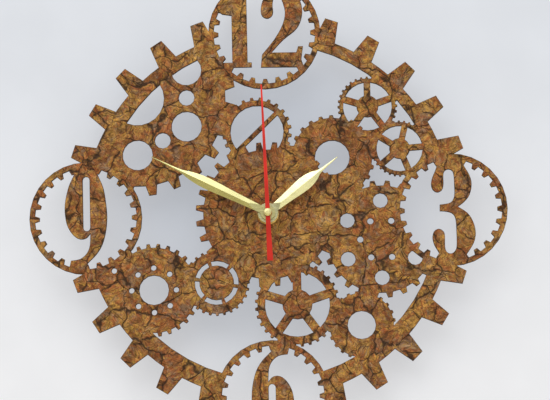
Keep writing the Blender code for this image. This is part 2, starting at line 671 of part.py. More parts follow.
def without_slits(points, triangles, patterns, owners, cuts, least_area):
    """The patterns with the small leftovers of wide cuts filled; holes that are cut small stay open."""
    owner = {edge: t for t, corners in enumerate(triangles) for edge in edges_of(corners)}
    patterns = list(patterns)
    seen = set()
    for start, pattern in enumerate(patterns):
        if any(pattern) or start in seen:
            continue
        seen.add(start)
        opening, enclosed, area = [start], True, 0.0
        for t in opening:
            a, b, c = (points[v] for v in triangles[t])
            area += (b - a).cross(c - a) / 2
            for u, v in edges_of(triangles[t]):
                other = owner.get((v, u))
                if other is None:
                    enclosed = False
                elif other not in seen and not any(patterns[other]):
                    seen.add(other)
                    opening.append(other)
        cut_area = min((abs(cuts[n]) for t in opening for n in owners[t] if n in cuts), default=0.0)
        if enclosed and area < least_area and area < SLIT_SHARE * cut_area:
            for t in opening:
                patterns[t] = (True,) * len(pattern)
    return patterns


def only_borders(points, triangles, patterns, creases):
    """The same plan with only the points and edges where the material changes, and the creases."""
    empty = (False,) * len(patterns[0])
    left = {}
    for corners, pattern in zip(triangles, patterns):
        for edge in edges_of(corners):
            left[edge] = pattern
    borders = {}
    for (a, b), pattern in left.items():
        other = left.get((b, a), empty)
        if pattern != other and (b, a) not in borders:
            borders[(a, b)] = (pattern, other)
    kept = {v: i for i, v in enumerate(dict.fromkeys(v for edge in borders for v in edge))}
    kept_points = [points[v] for v in kept]
    edges = [(kept[a], kept[b]) for a, b in borders]
    for crease in creases:
        edges += [(len(kept_points) + i, len(kept_points) + i + 1) for i in range(len(crease) - 1)]
        kept_points += crease
    plan = delaunay_2d_cdt(kept_points, edges, [], 0, MERGE_DISTANCE / 10, True)
    sides = list(borders.values())
    known = {}
    for (u, v), sources in zip(plan[1], plan[4]):
        for source in sources:
            if source < len(sides):
                a, b = edges[source]
                along = (plan[0][v] - plan[0][u]).dot(Vector(kept_points[b]) - Vector(kept_points[a]))
                known[(u, v)], known[(v, u)] = sides[source] if along > 0 else sides[source][::-1]
    return plan[0], plan[2], spread_patterns(plan[2], known)


def spread_patterns(triangles, known):
    """Each triangle's pattern, from the border edges it has or from its neighbours."""
    owner = {edge: t for t, corners in enumerate(triangles) for edge in edges_of(corners)}
    patterns = [None] * len(triangles)
    waiting = []
    for edge, pattern in known.items():
        if edge in owner and patterns[owner[edge]] is None:
            patterns[owner[edge]] = pattern
            waiting.append(owner[edge])
    while waiting:
        t = waiting.pop()
        for a, b in edges_of(triangles[t]):
            other = owner.get((b, a))
            if other is not None and (a, b) not in known and patterns[other] is None:
                patterns[other] = patterns[t]
                waiting.append(other)
    return patterns


def side_faces(triangles, slabs, flat_faces):
    """Upright faces along every edge with material on one side, joined over neighbouring slabs."""
    sides = {}
    for t, corners in enumerate(triangles):
        for edge in edges_of(corners):
            sides[edge] = t
    runs = []
    for (a, b), t in sides.items():
        other = sides.get((b, a))
        walls = [slab[t] and not (other is not None and slab[other]) for slab in slabs]
        start = None
        for s, wall in enumerate(walls):
            if wall and start is None:
                start = s
            elif not wall and start is not None:
                runs.append((a, b, start - 1, s - 1))
                start = None
    used = {corner for face in flat_faces for corner in face}
    for a, b, low, high in runs:
        used |= {(a, low), (b, low), (a, high), (b, high)}
    faces = []
    for a, b, low, high in runs:
        between = range(low + 1, high)
        face = [(a, low), (b, low)]
        face += [(b, level) for level in between if (b, level) in used]
        face += [(b, high), (a, high)]
        face += [(a, level) for level in reversed(between) if (a, level) in used]
        faces.append(face)
    return faces


def turned(name, look, profile, at, depth=0.0, rotation=(0.0, 0.0, 0.0)):
    """A turned solid from (radius, depth) points, rear to front; both ends lie on the axis."""
    sides = sides_for(max(radius for radius, _ in profile))
    vertices, rings, faces = [], [], []
    for radius, along in profile:
        count = sides if radius > 0 else 1
        rings.append(range(len(vertices), len(vertices) + count))
        for i in range(count):
            x, z = polar(CENTRE, radius, 360.0 * i / sides)
            vertices.append((x, -along, z))
    for lower, upper in zip(rings, rings[1:]):
        for i in range(sides):
            j = (i + 1) % sides
            if len(lower) == 1:
                faces.append((lower[0], upper[j], upper[i]))
            elif len(upper) == 1:
                faces.append((lower[i], lower[j], upper[0]))
            else:
                faces.append((lower[i], lower[j], upper[j], upper[i]))
    return place_mesh(name, look, vertices, faces, at, rotation, depth)


def dial_center(gear, on_rim):
    """Where a dial gear's centre lies, from its reach into the rim or into the central gear."""
    tip = gear.root + gear.tooth
    if on_rim:
        distance = RIM_ROOT_RADIUS - RIM_WIDTH + gear.overlap - tip
    else:
        distance = CORE_TIP_RADIUS + tip - gear.overlap
    return polar(CENTRE, distance, gear.direction)


def dial_gear_outline(center, gear):
    """The toothed outline of a dial gear."""
    shares = (TOOTH_BASE_SHARE, TOOTH_TIP_SHARE)
    return gear_outline(center, gear.root, gear.root + gear.tooth, gear.teeth, gear.phase, shares)


def hole_outlines(center, gear):
    """The middle hole of a dial gear and its circles of holes."""
    outlines = []
    if gear.hole:
        outlines.append(circle(center, gear.hole))
    for ring in gear.circles:
        for i in range(ring.count):
            if i not in ring.skip:
                at = polar(center, ring.spread, ring.start + 360.0 * i / ring.count)
                outlines.append(circle(at, ring.radius))
    return outlines


def spoke_openings(center, spokes):
    """The openings between straight spokes."""
    outlines = []
    for i in range(spokes.count):
        middle = spokes.angle + 360.0 * i / spokes.count
        half = 180.0 / spokes.count
        outer = half - math.degrees(math.asin(spokes.width / 2 / spokes.rim))
        inner = half - math.degrees(math.asin(spokes.width / 2 / spokes.hub))
        outline = arc(center, spokes.rim, middle - outer, middle + outer)
        outline += arc(center, spokes.hub, middle + inner, middle - inner)
        outlines.append(outline)
    return outlines


def arc_slots(center):
    """The curved slots of the slotted gear."""
    radius = SLOTTED_ROOT - SLOT_INSET
    inner = radius - SLOT_WIDTH / 2
    outer = radius + SLOT_WIDTH / 2
    half_span = 180.0 / SLOT_COUNT - math.degrees(SLOT_BRIDGE / 2 / radius)
    outlines = []
    for i in range(SLOT_COUNT):
        middle = SLOT_ANGLE + 360.0 * i / SLOT_COUNT
        start, end = middle - half_span, middle + half_span
        outlines.append(arc(center, outer, start, end) + arc(center, inner, end, start))
    return outlines


def numeral_outline(stretches, center, turn=0.0):
    """A numeral drawn about its ring's centre and scaled with the ring."""
    scale = (RING_RADIUS - RING_WIDTH) / NUMERAL_DRAWN_RADIUS
    drawn = []
    for kind, points in stretches:
        stretch = smooth_through(points, 3) if kind == "curve" else list(points)
        drawn += stretch[1:] if drawn and drawn[-1] == stretch[0] else stretch
    cos, sin = math.cos(math.radians(turn)), math.sin(math.radians(turn))
    return [(center[0] + scale * (x * cos - z * sin), center[1] + scale * (x * sin + z * cos))
            for x, z in drawn]


def paint_gear(sheet, gear, on_rim, openings=(), inside=None, holes_inside=None):
    """Adds a dial gear to the sheet and cuts its holes and openings."""
    center = dial_center(gear, on_rim)
    sheet.add(dial_gear_outline(center, gear), SHEET_REAR, SHEET_FRONT, inside)
    for outline in hole_outlines(center, gear) + list(openings):
        sheet.cut(outline, SHEET_REAR, SHEET_FRONT, holes_inside)
    return center


def paint_ring(sheet, direction, numerals, counters=()):
    """Adds a numeral ring: its band, inner teeth and numerals."""
    center = polar(CENTRE, RIM_ROOT_RADIUS + RING_RADIUS - RING_RIM_BITE, direction)
    inner = RING_RADIUS - RING_WIDTH
    sheet.add(circle(center, RING_RADIUS), SHEET_REAR, SHEET_FRONT)
    shares = (1 - TOOTH_TIP_SHARE, 1 - TOOTH_BASE_SHARE)
    pitch = 360.0 / RING_TEETH
    opening = gear_outline(center, inner - RING_TOOTH_HEIGHT, inner, RING_TEETH, pitch / 2, shares)
    sheet.cut(opening, SHEET_REAR, SHEET_FRONT)
    band = circle(center, RING_RADIUS - RING_WIDTH / 2)
    for stretches, turn in numerals:
        sheet.add(numeral_outline(stretches, center, turn), SHEET_REAR, SHEET_FRONT, band)
    scale = inner / NUMERAL_DRAWN_RADIUS
    for (low, high, radius), sign in counters:
        ends = [(center[0] + sign * scale * x, center[1] + sign * scale * z) for x, z in (low, high)]
        sheet.cut(capsule(ends[0], ends[1], scale * radius), SHEET_REAR, SHEET_FRONT)


def make_dial():
    """The one laser-cut sheet: rim, gears, central gear and numeral rings."""
    sheet = Solid(SMALLEST_OPENING)
    shares = (TOOTH_BASE_SHARE, TOOTH_TIP_SHARE)
    rim_tip = RIM_ROOT_RADIUS + RIM_TOOTH_HEIGHT
    rim_phase = 90.0 + 180.0 / RIM_TEETH
    sheet.add(gear_outline(CENTRE, RIM_ROOT_RADIUS, rim_tip, RIM_TEETH, rim_phase, shares),
              SHEET_REAR, SHEET_FRONT)
    window = circle((RIM_WINDOW_SHIFT_X, RIM_WINDOW_SHIFT_Z), RIM_ROOT_RADIUS - RIM_WIDTH)
    sheet.cut(window, SHEET_REAR, SHEET_FRONT)
    inside_rim = circle(CENTRE, RIM_ROOT_RADIUS - RIM_WIDTH / 3)
    paint_gear(sheet, GEAR_UPPER_LEFT, True, inside=inside_rim, holes_inside=window)
    spoked = ((GEAR_UPPER_RIGHT, True, UPPER_RIGHT_SPOKES), (GEAR_RIGHT_SMALL, True, RIGHT_SMALL_SPOKES))
    for gear, on_rim, spokes in spoked:
        paint_gear(sheet, gear, on_rim, spoke_openings(dial_center(gear, on_rim), spokes))
    paint_gear(sheet, GEAR_UPPER_CORE, False)
    top = paint_gear(sheet, GEAR_TOP, False)
    bar_ends = [polar(top, GEAR_TOP.root - TOP_BAR_WIDTH / 2, TOP_BAR_ANGLE + flip) for flip in (0, 180)]
    sheet.add(strip(bar_ends, TOP_BAR_WIDTH), SHEET_REAR, SHEET_FRONT)
    paint_gear(sheet, GEAR_RIGHT, True)
    paint_gear(sheet, GEAR_LOWER_RIGHT, True)
    paint_gear(sheet, GEAR_BOTTOM, False, spoke_openings(dial_center(GEAR_BOTTOM, False), BOTTOM_SPOKES))
    slotted = paint_gear(sheet, GEAR_SLOTTED, False)
    paint_gear(sheet, GEAR_LOWER_LEFT, True)
    lone = polar(CENTRE, RIM_ROOT_RADIUS - LONE_HOLE_INSET, LONE_HOLE_ANGLE)
    sheet.add(circle(lone, 2 * LONE_HOLE_RADIUS), SHEET_REAR, SHEET_FRONT)
    sheet.cut(circle(lone, LONE_HOLE_RADIUS), SHEET_REAR, SHEET_FRONT)
    core_phase = 90.0 + 180.0 / CORE_TEETH
    sheet.add(gear_outline(CENTRE, CORE_ROOT_RADIUS, CORE_TIP_RADIUS, CORE_TEETH, core_phase, shares),
              SHEET_REAR, SHEET_FRONT)
    for slot in arc_slots(slotted):
        sheet.cut(slot, SHEET_REAR, SHEET_FRONT)
    paint_ring(sheet, 90.0, ((ONE, 0.0), (TWO, 0.0)))
    paint_ring(sheet, 0.0, ((THREE, 0.0),))
    paint_ring(sheet, 180.0, ((NINE, 0.0),), ((NINE_COUNTER, 1),))
    paint_ring(sheet, 270.3, ((NINE, 180.0),), ((NINE_COUNTER, -1),))
    sheet.cut(circle(CENTRE, CLAMP_BORE), SHEET_REAR, SHEET_FRONT)
    sheet.build("dial_panel", RUSTED_BROWN)


def hand_half(length, width, root_width, boss):
    """Half widths along a hand: slim root, wide middle, then a needle tip."""
    stations = ((boss * 0.6, root_width / 2), (length * 0.26, root_width * 0.36 + width * 0.16),
                (length * 0.52, width / 2), (length * 0.66, width * 0.36), (length * 0.76, width * 0.12),
                (length, width * 0.03))
    return smooth_through(stations, 3)


def make_faceted_hand(name, rear, length, width, root_width, boss, bore, angle):
    """A pressed hand with a raised middle line, a round boss and a bore for its tube."""
    half = hand_half(length, width, root_width, boss)
    front = rear + HAND_THICKNESS
    hand = Solid()
    hand.add([(w, along) for along, w in half] + [(-w, along) for along, w in reversed(half)], rear, front)
    hand.add(circle(CENTRE, boss), rear, front)
    hand.cut(circle(CENTRE, bore), rear, front)
    ridge = [(0.0, along) for along, _ in half[2:-1]]
    widest = width / 2

    def lift(point):
        """Height of the raised middle line over the flat edge."""
        if abs(point[0]) > MERGE_DISTANCE or point[1] < boss or point[1] > ridge[-1][1]:
            return 0.0
        here = min(half, key=lambda station: abs(station[0] - point[1]))
        return HAND_RIDGE * max(here[1] / widest, 0.15)

    hand.build(name, PALE_GOLD, turn=angle, lift=lift, creases=(ridge,))


def make_hands():
    """Hour, minute and second hands at the time that the clock shows."""
    make_faceted_hand("hour_hand", HOUR_HAND_REAR, HOUR_LENGTH, HOUR_WIDTH, HOUR_ROOT_WIDTH,
                      HOUR_BOSS_RADIUS, HOUR_TUBE + SEAT_GAP, HOUR_ANGLE)
    make_faceted_hand("minute_hand", MINUTE_HAND_REAR, MINUTE_LENGTH, MINUTE_WIDTH, MINUTE_ROOT_WIDTH,
                      MINUTE_BOSS_RADIUS, MINUTE_TUBE + SEAT_GAP, MINUTE_ANGLE)
    front = SECOND_HAND_REAR + SECOND_THICKNESS
    collet_radius = ARBOR_RADIUS + SEAT_GAP + COLLET_WALL
    second = Solid()
    second.add([(SECOND_HUB_WIDTH / 2, 0.0), (SECOND_TIP_WIDTH / 2, SECOND_LENGTH),
                (-SECOND_TIP_WIDTH / 2, SECOND_LENGTH), (-SECOND_HUB_WIDTH / 2, 0.0),
                (-SECOND_TAIL_WIDTH / 2, -SECOND_TAIL), (SECOND_TAIL_WIDTH / 2, -SECOND_TAIL)],
               SECOND_HAND_REAR, front)
    second.add(circle(CENTRE, SECOND_BOSS_RADIUS), SECOND_HAND_REAR, front)
    second.cut(circle(CENTRE, collet_radius + SEAT_GAP), SECOND_HAND_REAR, front)
    second.build("second_hand", SIGNAL_RED, turn=SECOND_ANGLE)
    bore = ARBOR_RADIUS + SEAT_GAP
    head = COLLET_HEAD_RADIUS
    bore_end = COLLET_HEAD_REAR + COLLET_HEAD_HEIGHT * 0.4
    turned("second_hand_collet", PALE_GOLD, (
        (0.0, bore_end), (bore, bore_end), (bore, SECOND_HAND_REAR), (collet_radius, SECOND_HAND_REAR),
        (collet_radius, COLLET_HEAD_REAR), (head, COLLET_HEAD_REAR),
        (head, COLLET_HEAD_REAR + COLLET_HEAD_HEIGHT * 0.35),
        (head * 0.86, COLLET_HEAD_REAR + COLLET_HEAD_HEIGHT * 0.7),
        (head * 0.5, COLLET_HEAD_REAR + COLLET_HEAD_HEIGHT * 0.94),
        (0.0, COLLET_HEAD_REAR + COLLET_HEAD_HEIGHT)), CENTRE)


def make_clamp():
    """The bushing, washers and nut that clamp the dial to the movement."""
    bushing = Solid()
    flange_front = INSIDE_FRONT - SEAT_GAP
    flange_rear = flange_front - BUSHING_FLANGE_THICKNESS
    bushing.add(circle(CENTRE, BUSHING_RADIUS + BUSHING_FLANGE), flange_rear, flange_front)
    bushing.add(circle(CENTRE, BUSHING_RADIUS), flange_front, BUSHING_FRONT)
    bushing.cut(circle(CENTRE, BUSHING_BORE), flange_rear, BUSHING_FRONT)
    bushing.build("threaded_bushing", BRASS)
    discs = (("rubber_washer", BLACK_RUBBER, RUBBER_REAR, RUBBER_THICKNESS, RUBBER_WIDTH),
             ("brass_washer", BRASS, WASHER_REAR, WASHER_THICKNESS, WASHER_WIDTH))
    for name, look, rear, thickness, width in discs:
        disc = Solid()
        disc.add(circle(CENTRE, CLAMP_BORE + width), rear, rear + thickness)
        disc.cut(circle(CENTRE, CLAMP_BORE), rear, rear + thickness)
        disc.build(name, look)
    nut = Solid()
    corner = NUT_ACROSS_FLATS / math.sqrt(3)
    nut.add([polar(CENTRE, corner, 30 + 60 * i) for i in range(6)], NUT_REAR, NUT_REAR + NUT_THICKNESS)
    nut.cut(circle(CENTRE, CLAMP_BORE), NUT_REAR, NUT_REAR + NUT_THICKNESS)
    nut.build("hex_nut", BRASS)


def train_points():
    """Plan points of the train's arbors."""
    third = polar(CENTRE, THIRD_DISTANCE, THIRD_DIRECTION)
    fifth = polar(CENTRE, FIFTH_DISTANCE, FIFTH_DIRECTION)
    rotor = polar(fifth, ROTOR_DISTANCE, ROTOR_DIRECTION)
    minute = polar(CENTRE, MINUTE_DISTANCE, MINUTE_DIRECTION)
    knob = polar(minute, KNOB_DISTANCE, KNOB_DIRECTION)
    return {"third": third, "fifth": fifth, "rotor": rotor, "minute": minute, "knob": knob}


def mesh_phase(driver_phase, driver_teeth, direction, teeth):
    """The phase, in degrees, that puts a gear's gap on the driver's tooth in a direction from it."""
    fraction = (direction - driver_phase) * driver_teeth / 360.0
    return direction + 180.0 - (0.5 - fraction) * 360.0 / teeth


def toothed(module, teeth, phase, is_pinion):
    """A train gear's outline about its own arbor."""
    addendum = PINION_ADDENDUM if is_pinion else WHEEL_ADDENDUM
    radius = module * teeth / 2
    shares = PINION_SHARES if is_pinion else WHEEL_SHARES
    return gear_outline(CENTRE, radius - DEDENDUM * module, radius + addendum * module, teeth, phase, shares)


def add_wheel(solid, layer, module, teeth, phase):
    """Adds a wheel to an arbor at a layer."""
    solid.add(toothed(module, teeth, phase, False), layer - WHEEL_THICKNESS / 2, layer + WHEEL_THICKNESS / 2)


def add_pinion(solid, layer, module, teeth, phase):
    """Adds a pinion to an arbor at a layer."""
    solid.add(toothed(module, teeth, phase, True), layer - PINION_LENGTH / 2, layer + PINION_LENGTH / 2)


def make_train():
    """The going train and the motion work, all in mesh at rest."""
    points = train_points()
    third_phase = mesh_phase(0.0, CENTRE_TEETH, THIRD_DIRECTION, THIRD_PINION_TEETH)
    second_phase = mesh_phase(0.0, THIRD_TEETH, THIRD_DIRECTION + 180.0, SECOND_PINION_TEETH)
    fifth_phase = mesh_phase(0.0, SECOND_TEETH, FIFTH_DIRECTION, FIFTH_PINION_TEETH)
    rotor_phase = mesh_phase(0.0, FIFTH_TEETH, ROTOR_DIRECTION, ROTOR_PINION_TEETH)
    minute_phase = mesh_phase(0.0, CANNON_TEETH, MINUTE_DIRECTION, MINUTE_TEETH)
    hour_phase = mesh_phase(0.0, MINUTE_PINION_TEETH, MINUTE_DIRECTION + 180.0, HOUR_TEETH)
    knob_phase = mesh_phase(minute_phase, MINUTE_TEETH, KNOB_DIRECTION, KNOB_PINION_TEETH)
    arbor = circle(CENTRE, ARBOR_RADIUS)
    pivot = circle(CENTRE, PIVOT_RADIUS)

    hour = Solid()
    hour_rear = HOUR_LAYER - WHEEL_THICKNESS / 2
    hour_front = HOUR_HAND_REAR + HAND_THICKNESS
    add_wheel(hour, HOUR_LAYER, HOUR_MODULE, HOUR_TEETH, hour_phase)
    hour.add(circle(CENTRE, HOUR_TUBE), hour_rear, hour_front)
    hour.cut(circle(CENTRE, HOUR_BORE), hour_rear, hour_front)
    hour.build("hour_wheel", WHITE_PLASTIC)

    centre = Solid()
    centre_rear = CENTRE_LAYER - WHEEL_THICKNESS / 2
    centre_front = MINUTE_HAND_REAR + HAND_THICKNESS
    add_wheel(centre, CENTRE_LAYER, CENTRE_MODULE, CENTRE_TEETH, 0.0)
    centre.add(circle(CENTRE, MINUTE_TUBE), centre_rear, centre_front)
    add_pinion(centre, CANNON_LAYER, CANNON_MODULE, CANNON_TEETH, 0.0)
    centre.cut(circle(CENTRE, MINUTE_BORE), centre_rear, centre_front)
    centre.build("centre_wheel", BRASS)

    second = Solid()
    second.add(arbor, PIVOT_REAR, COLLET_HEAD_REAR)
    add_wheel(second, SECOND_LAYER, FIFTH_MODULE, SECOND_TEETH, 0.0)
    add_pinion(second, THIRD_LAYER, THIRD_MODULE, SECOND_PINION_TEETH, second_phase)
    second.build("second_wheel", WHITE_PLASTIC)

    third = Solid()
    third.add(arbor, PIVOT_REAR, PIVOT_FRONT)
    add_wheel(third, THIRD_LAYER, THIRD_MODULE, THIRD_TEETH, 0.0)
    add_pinion(third, CENTRE_LAYER, CENTRE_MODULE, THIRD_PINION_TEETH, third_phase)
    third.build("third_wheel", WHITE_PLASTIC, points["third"])

    fifth = Solid()
    fifth.add(pivot, PIVOT_REAR, PLATE_FRONT)
    add_wheel(fifth, FIFTH_LAYER, FIFTH_MODULE, FIFTH_TEETH, 0.0)
    add_pinion(fifth, SECOND_LAYER, FIFTH_MODULE, FIFTH_PINION_TEETH, fifth_phase)
    fifth.build("fifth_wheel", WHITE_PLASTIC, points["fifth"])

    rotor = Solid()
    rotor.add(pivot, PIVOT_REAR, PLATE_FRONT)
    add_pinion(rotor, FIFTH_LAYER, FIFTH_MODULE, ROTOR_PINION_TEETH, rotor_phase)
    rotor.build("rotor_pinion", WHITE_PLASTIC, points["rotor"])

    magnet = Solid()
    magnet_rear = SECOND_LAYER - MAGNET_LENGTH / 2
    magnet_front = SECOND_LAYER + MAGNET_LENGTH / 2
    magnet.add(circle(CENTRE, MAGNET_RADIUS), magnet_rear, magnet_front)
    magnet.cut(circle(CENTRE, PIVOT_RADIUS + SEAT_GAP), magnet_rear, magnet_front)
    magnet.build("rotor_magnet", STEEL, points["rotor"])

    minute = Solid()
    minute_rear = CANNON_LAYER - WHEEL_THICKNESS / 2
    minute_front = HOUR_LAYER + PINION_LENGTH / 2
    add_wheel(minute, CANNON_LAYER, CANNON_MODULE, MINUTE_TEETH, minute_phase)
    minute.add(toothed(HOUR_MODULE, MINUTE_PINION_TEETH, 0.0, True), minute_rear, minute_front)
    minute.cut(circle(CENTRE, PIVOT_RADIUS + SEAT_GAP), minute_rear, minute_front)
    minute.build("minute_wheel", WHITE_PLASTIC, points["minute"])

    knob = Solid()
    knob_front = KNOB_RECESS + KNOB_THICKNESS
    grip = gear_outline(CENTRE, KNOB_RADIUS - KNOB_RIB_HEIGHT, KNOB_RADIUS, KNOB_RIBS, 0.0, (0.6, 0.4))
    knob.add(grip, KNOB_RECESS, knob_front)
    knob.add(circle(CENTRE, KNOB_STEM_RADIUS), knob_front, CANNON_LAYER)
    knob.add(pivot, CANNON_LAYER, PIVOT_FRONT)
    add_pinion(knob, CANNON_LAYER, CANNON_MODULE, KNOB_PINION_TEETH, knob_phase)
    knob.build("set_knob", BLACK_PLASTIC, points["knob"])


def plate_pegs():
    """Where the middle plate sits on the case's posts."""
    low = plate_low()
    return ((PLATE_LEFT + PEG_INSET, low + PEG_INSET), (PLATE_RIGHT - 2 * PEG_INSET, low + PEG_INSET),
            (PLATE_LEFT + 3 * PEG_INSET, PLATE_HIGH - 2 * PEG_INSET),
            (PLATE_RIGHT - 2 * PEG_INSET, PLATE_HIGH - 3 * PEG_INSET))


def plate_low():
    """Plan height of the middle plate's lower edge."""
    return GEAR_FLOOR + BAY_DIVIDER


def board_sides():
    """Left and right edges of the circuit board."""
    return -INSIDE_HALF_WIDTH + CONTACT_ROOM + BOARD_INSET, COIL_X - COIL_RADIUS - BOARD_COIL_GAP


def board_pegs():
    """Where the circuit board sits on the case's posts."""
    left, right = board_sides()
    middle = (BOARD_LOW + BOARD_HIGH) / 2
    return ((left + PEG_INSET, middle), (right - PEG_INSET, middle))


def board_depths():
    """Rear and front depth of the circuit board."""
    return THIRD_LAYER, THIRD_LAYER + BOARD_THICKNESS


def add_bearing(solid, at, rear, front):
    """Adds an open boss that a pivot runs in."""
    bore = PIVOT_RADIUS + RUN_GAP
    solid.add(circle(at, bore + BEARING_WALL), rear, front)
    solid.cut(circle(at, bore), rear, front)


def contact_slots():
    """Left and right plan x of the two contact strips."""
    reach = INSIDE_HALF_WIDTH - SEAT_GAP - CONTACT_THICKNESS / 2
    return -reach, reach


def make_front_case():
    """The moulded tray with the battery bay, posts, bearings and hanging loop."""
    points = train_points()
    case = Solid()
    outside = rounded_box(-CASE_HALF_WIDTH, CASE_HALF_WIDTH, CASE_BOTTOM, CASE_TOP, CASE_CORNER)
    half = INSIDE_HALF_WIDTH
    hanger_front = CASE_REAR + HANGER_THICKNESS
    loop_top = CASE_TOP + HANGER_HEIGHT
    case.add(capsule((-HANGER_WIDTH / 2 + HANGER_HEIGHT / 2, loop_top - HANGER_HEIGHT / 2),
                     (HANGER_WIDTH / 2 - HANGER_HEIGHT / 2, loop_top - HANGER_HEIGHT / 2),
                     HANGER_HEIGHT / 2), CASE_REAR, hanger_front)
    case.add(box(-HANGER_WIDTH / 2, HANGER_WIDTH / 2, CASE_TOP - CASE_WALL / 2, loop_top - HANGER_HEIGHT / 2),
             CASE_REAR, hanger_front)
    slot_top = loop_top - HANGER_BAR
    slot_radius = HANGER_SLOT_HEIGHT / 2
    case.cut(capsule((-HANGER_SLOT_WIDTH / 2 + slot_radius, slot_top - slot_radius),
                     (HANGER_SLOT_WIDTH / 2 - slot_radius, slot_top - slot_radius), slot_radius),
             CASE_REAR, hanger_front)
    case.add(outside, CASE_REAR, CASE_DEPTH)
    case.cut(box(-half, half, GEAR_FLOOR, INSIDE_TOP), CASE_REAR, INSIDE_FRONT)
    case.cut(box(-half, half, BAY_BOTTOM, BAY_TOP), CASE_REAR, INSIDE_FRONT)
    board_rear, board_front = board_depths()
    for x in contact_slots():
        inner = half - math.copysign(1.0, x) * x
        notch = 2 * inner + CONTACT_THICKNESS
        sides = (half - notch, half) if x > 0 else (-half, -half + notch)
        case.cut(box(*sides, BAY_TOP, GEAR_FLOOR), CASE_REAR, board_front + SEAT_GAP)
    for at in plate_pegs():
        case.add(circle(at, PEG_RADIUS), PLATE_REAR, INSIDE_FRONT)
        case.add(circle(at, POST_RADIUS), PLATE_FRONT + SEAT_GAP, INSIDE_FRONT)
    for at in board_pegs():
        case.add(circle(at, PEG_RADIUS), board_rear, INSIDE_FRONT)
        case.add(circle(at, POST_RADIUS), board_front + SEAT_GAP, INSIDE_FRONT)
    case.add(circle(points["minute"], PIVOT_RADIUS), CANNON_LAYER - WHEEL_THICKNESS / 2, INSIDE_FRONT)
    case.add(circle(points["third"], ARBOR_RADIUS + RUN_GAP + BEARING_WALL),
             INSIDE_FRONT - BEARING_HEIGHT, INSIDE_FRONT)
    case.cut(circle(points["third"], ARBOR_RADIUS + RUN_GAP), INSIDE_FRONT - BEARING_HEIGHT, INSIDE_FRONT)
    add_bearing(case, points["knob"], CANNON_LAYER + PINION_LENGTH / 2 + SEAT_GAP, INSIDE_FRONT)
    case.cut(circle(CENTRE, CLAMP_BORE), INSIDE_FRONT, CASE_DEPTH)
    case.build("front_case", BLACK_PLASTIC)


def make_rear_cover():
    """The cover that rests on the wall, with bearing bosses, a lip and the knob's cup."""
    points = train_points()
    cover = Solid()
    lip_rear = COVER_THICKNESS
    lip_front = COVER_THICKNESS + COVER_LIP_HEIGHT
    knob = points["knob"]
    cup = KNOB_RADIUS + SEAT_GAP
    floor_rear = KNOB_RECESS + KNOB_THICKNESS + SEAT_GAP
    cover.add(rounded_box(-CASE_HALF_WIDTH, CASE_HALF_WIDTH, GEAR_FLOOR - BAY_DIVIDER, CASE_TOP, CASE_CORNER),
              0.0, COVER_THICKNESS)
    lip_half = INSIDE_HALF_WIDTH - CONTACT_ROOM
    lip_low, lip_high = GEAR_FLOOR + SEAT_GAP, INSIDE_TOP - SEAT_GAP
    cover.add(box(-lip_half, lip_half, lip_low, lip_high), lip_rear, lip_front)
    cover.cut(box(-lip_half + COVER_LIP_WIDTH, lip_half - COVER_LIP_WIDTH, lip_low + COVER_LIP_WIDTH,
                  lip_high - COVER_LIP_WIDTH), lip_rear, lip_front)
    for at in (CENTRE, points["third"]):
        bore = ARBOR_RADIUS + RUN_GAP
        cover.add(circle(at, bore + BEARING_WALL), COVER_THICKNESS, COVER_THICKNESS + BEARING_HEIGHT)
        cover.cut(circle(at, bore), COVER_THICKNESS, COVER_THICKNESS + BEARING_HEIGHT)
    for name in ("fifth", "rotor"):
        add_bearing(cover, points[name], COVER_THICKNESS, COVER_THICKNESS + BEARING_HEIGHT)
    cover.add(circle(knob, cup + KNOB_CUP_WALL), COVER_THICKNESS, floor_rear + KNOB_CUP_FLOOR)
    cover.cut(circle(knob, cup), 0.0, floor_rear)
    cover.cut(circle(knob, KNOB_STEM_RADIUS + RUN_GAP), floor_rear, floor_rear + KNOB_CUP_FLOOR)
    cover.build("rear_cover", BLACK_PLASTIC)


def make_middle_plate():
    """The plate between the two halves of the train."""
    points = train_points()
    plate = Solid()
    plate.add(box(PLATE_LEFT, PLATE_RIGHT, plate_low(), PLATE_HIGH), PLATE_REAR, PLATE_FRONT)
    holes = [(at, PEG_RADIUS + SEAT_GAP) for at in plate_pegs()]
    holes += [(CENTRE, ARBOR_RADIUS + RUN_GAP), (points["third"], ARBOR_RADIUS + RUN_GAP)]
    holes += [(points[name], PIVOT_RADIUS + RUN_GAP) for name in ("fifth", "rotor")]
    holes.append((points["knob"], KNOB_STEM_RADIUS + RUN_GAP))
    for at, radius in holes:
        plate.cut(circle(at, radius), PLATE_REAR, PLATE_FRONT)
    plate.build("middle_plate", WHITE_PLASTIC)


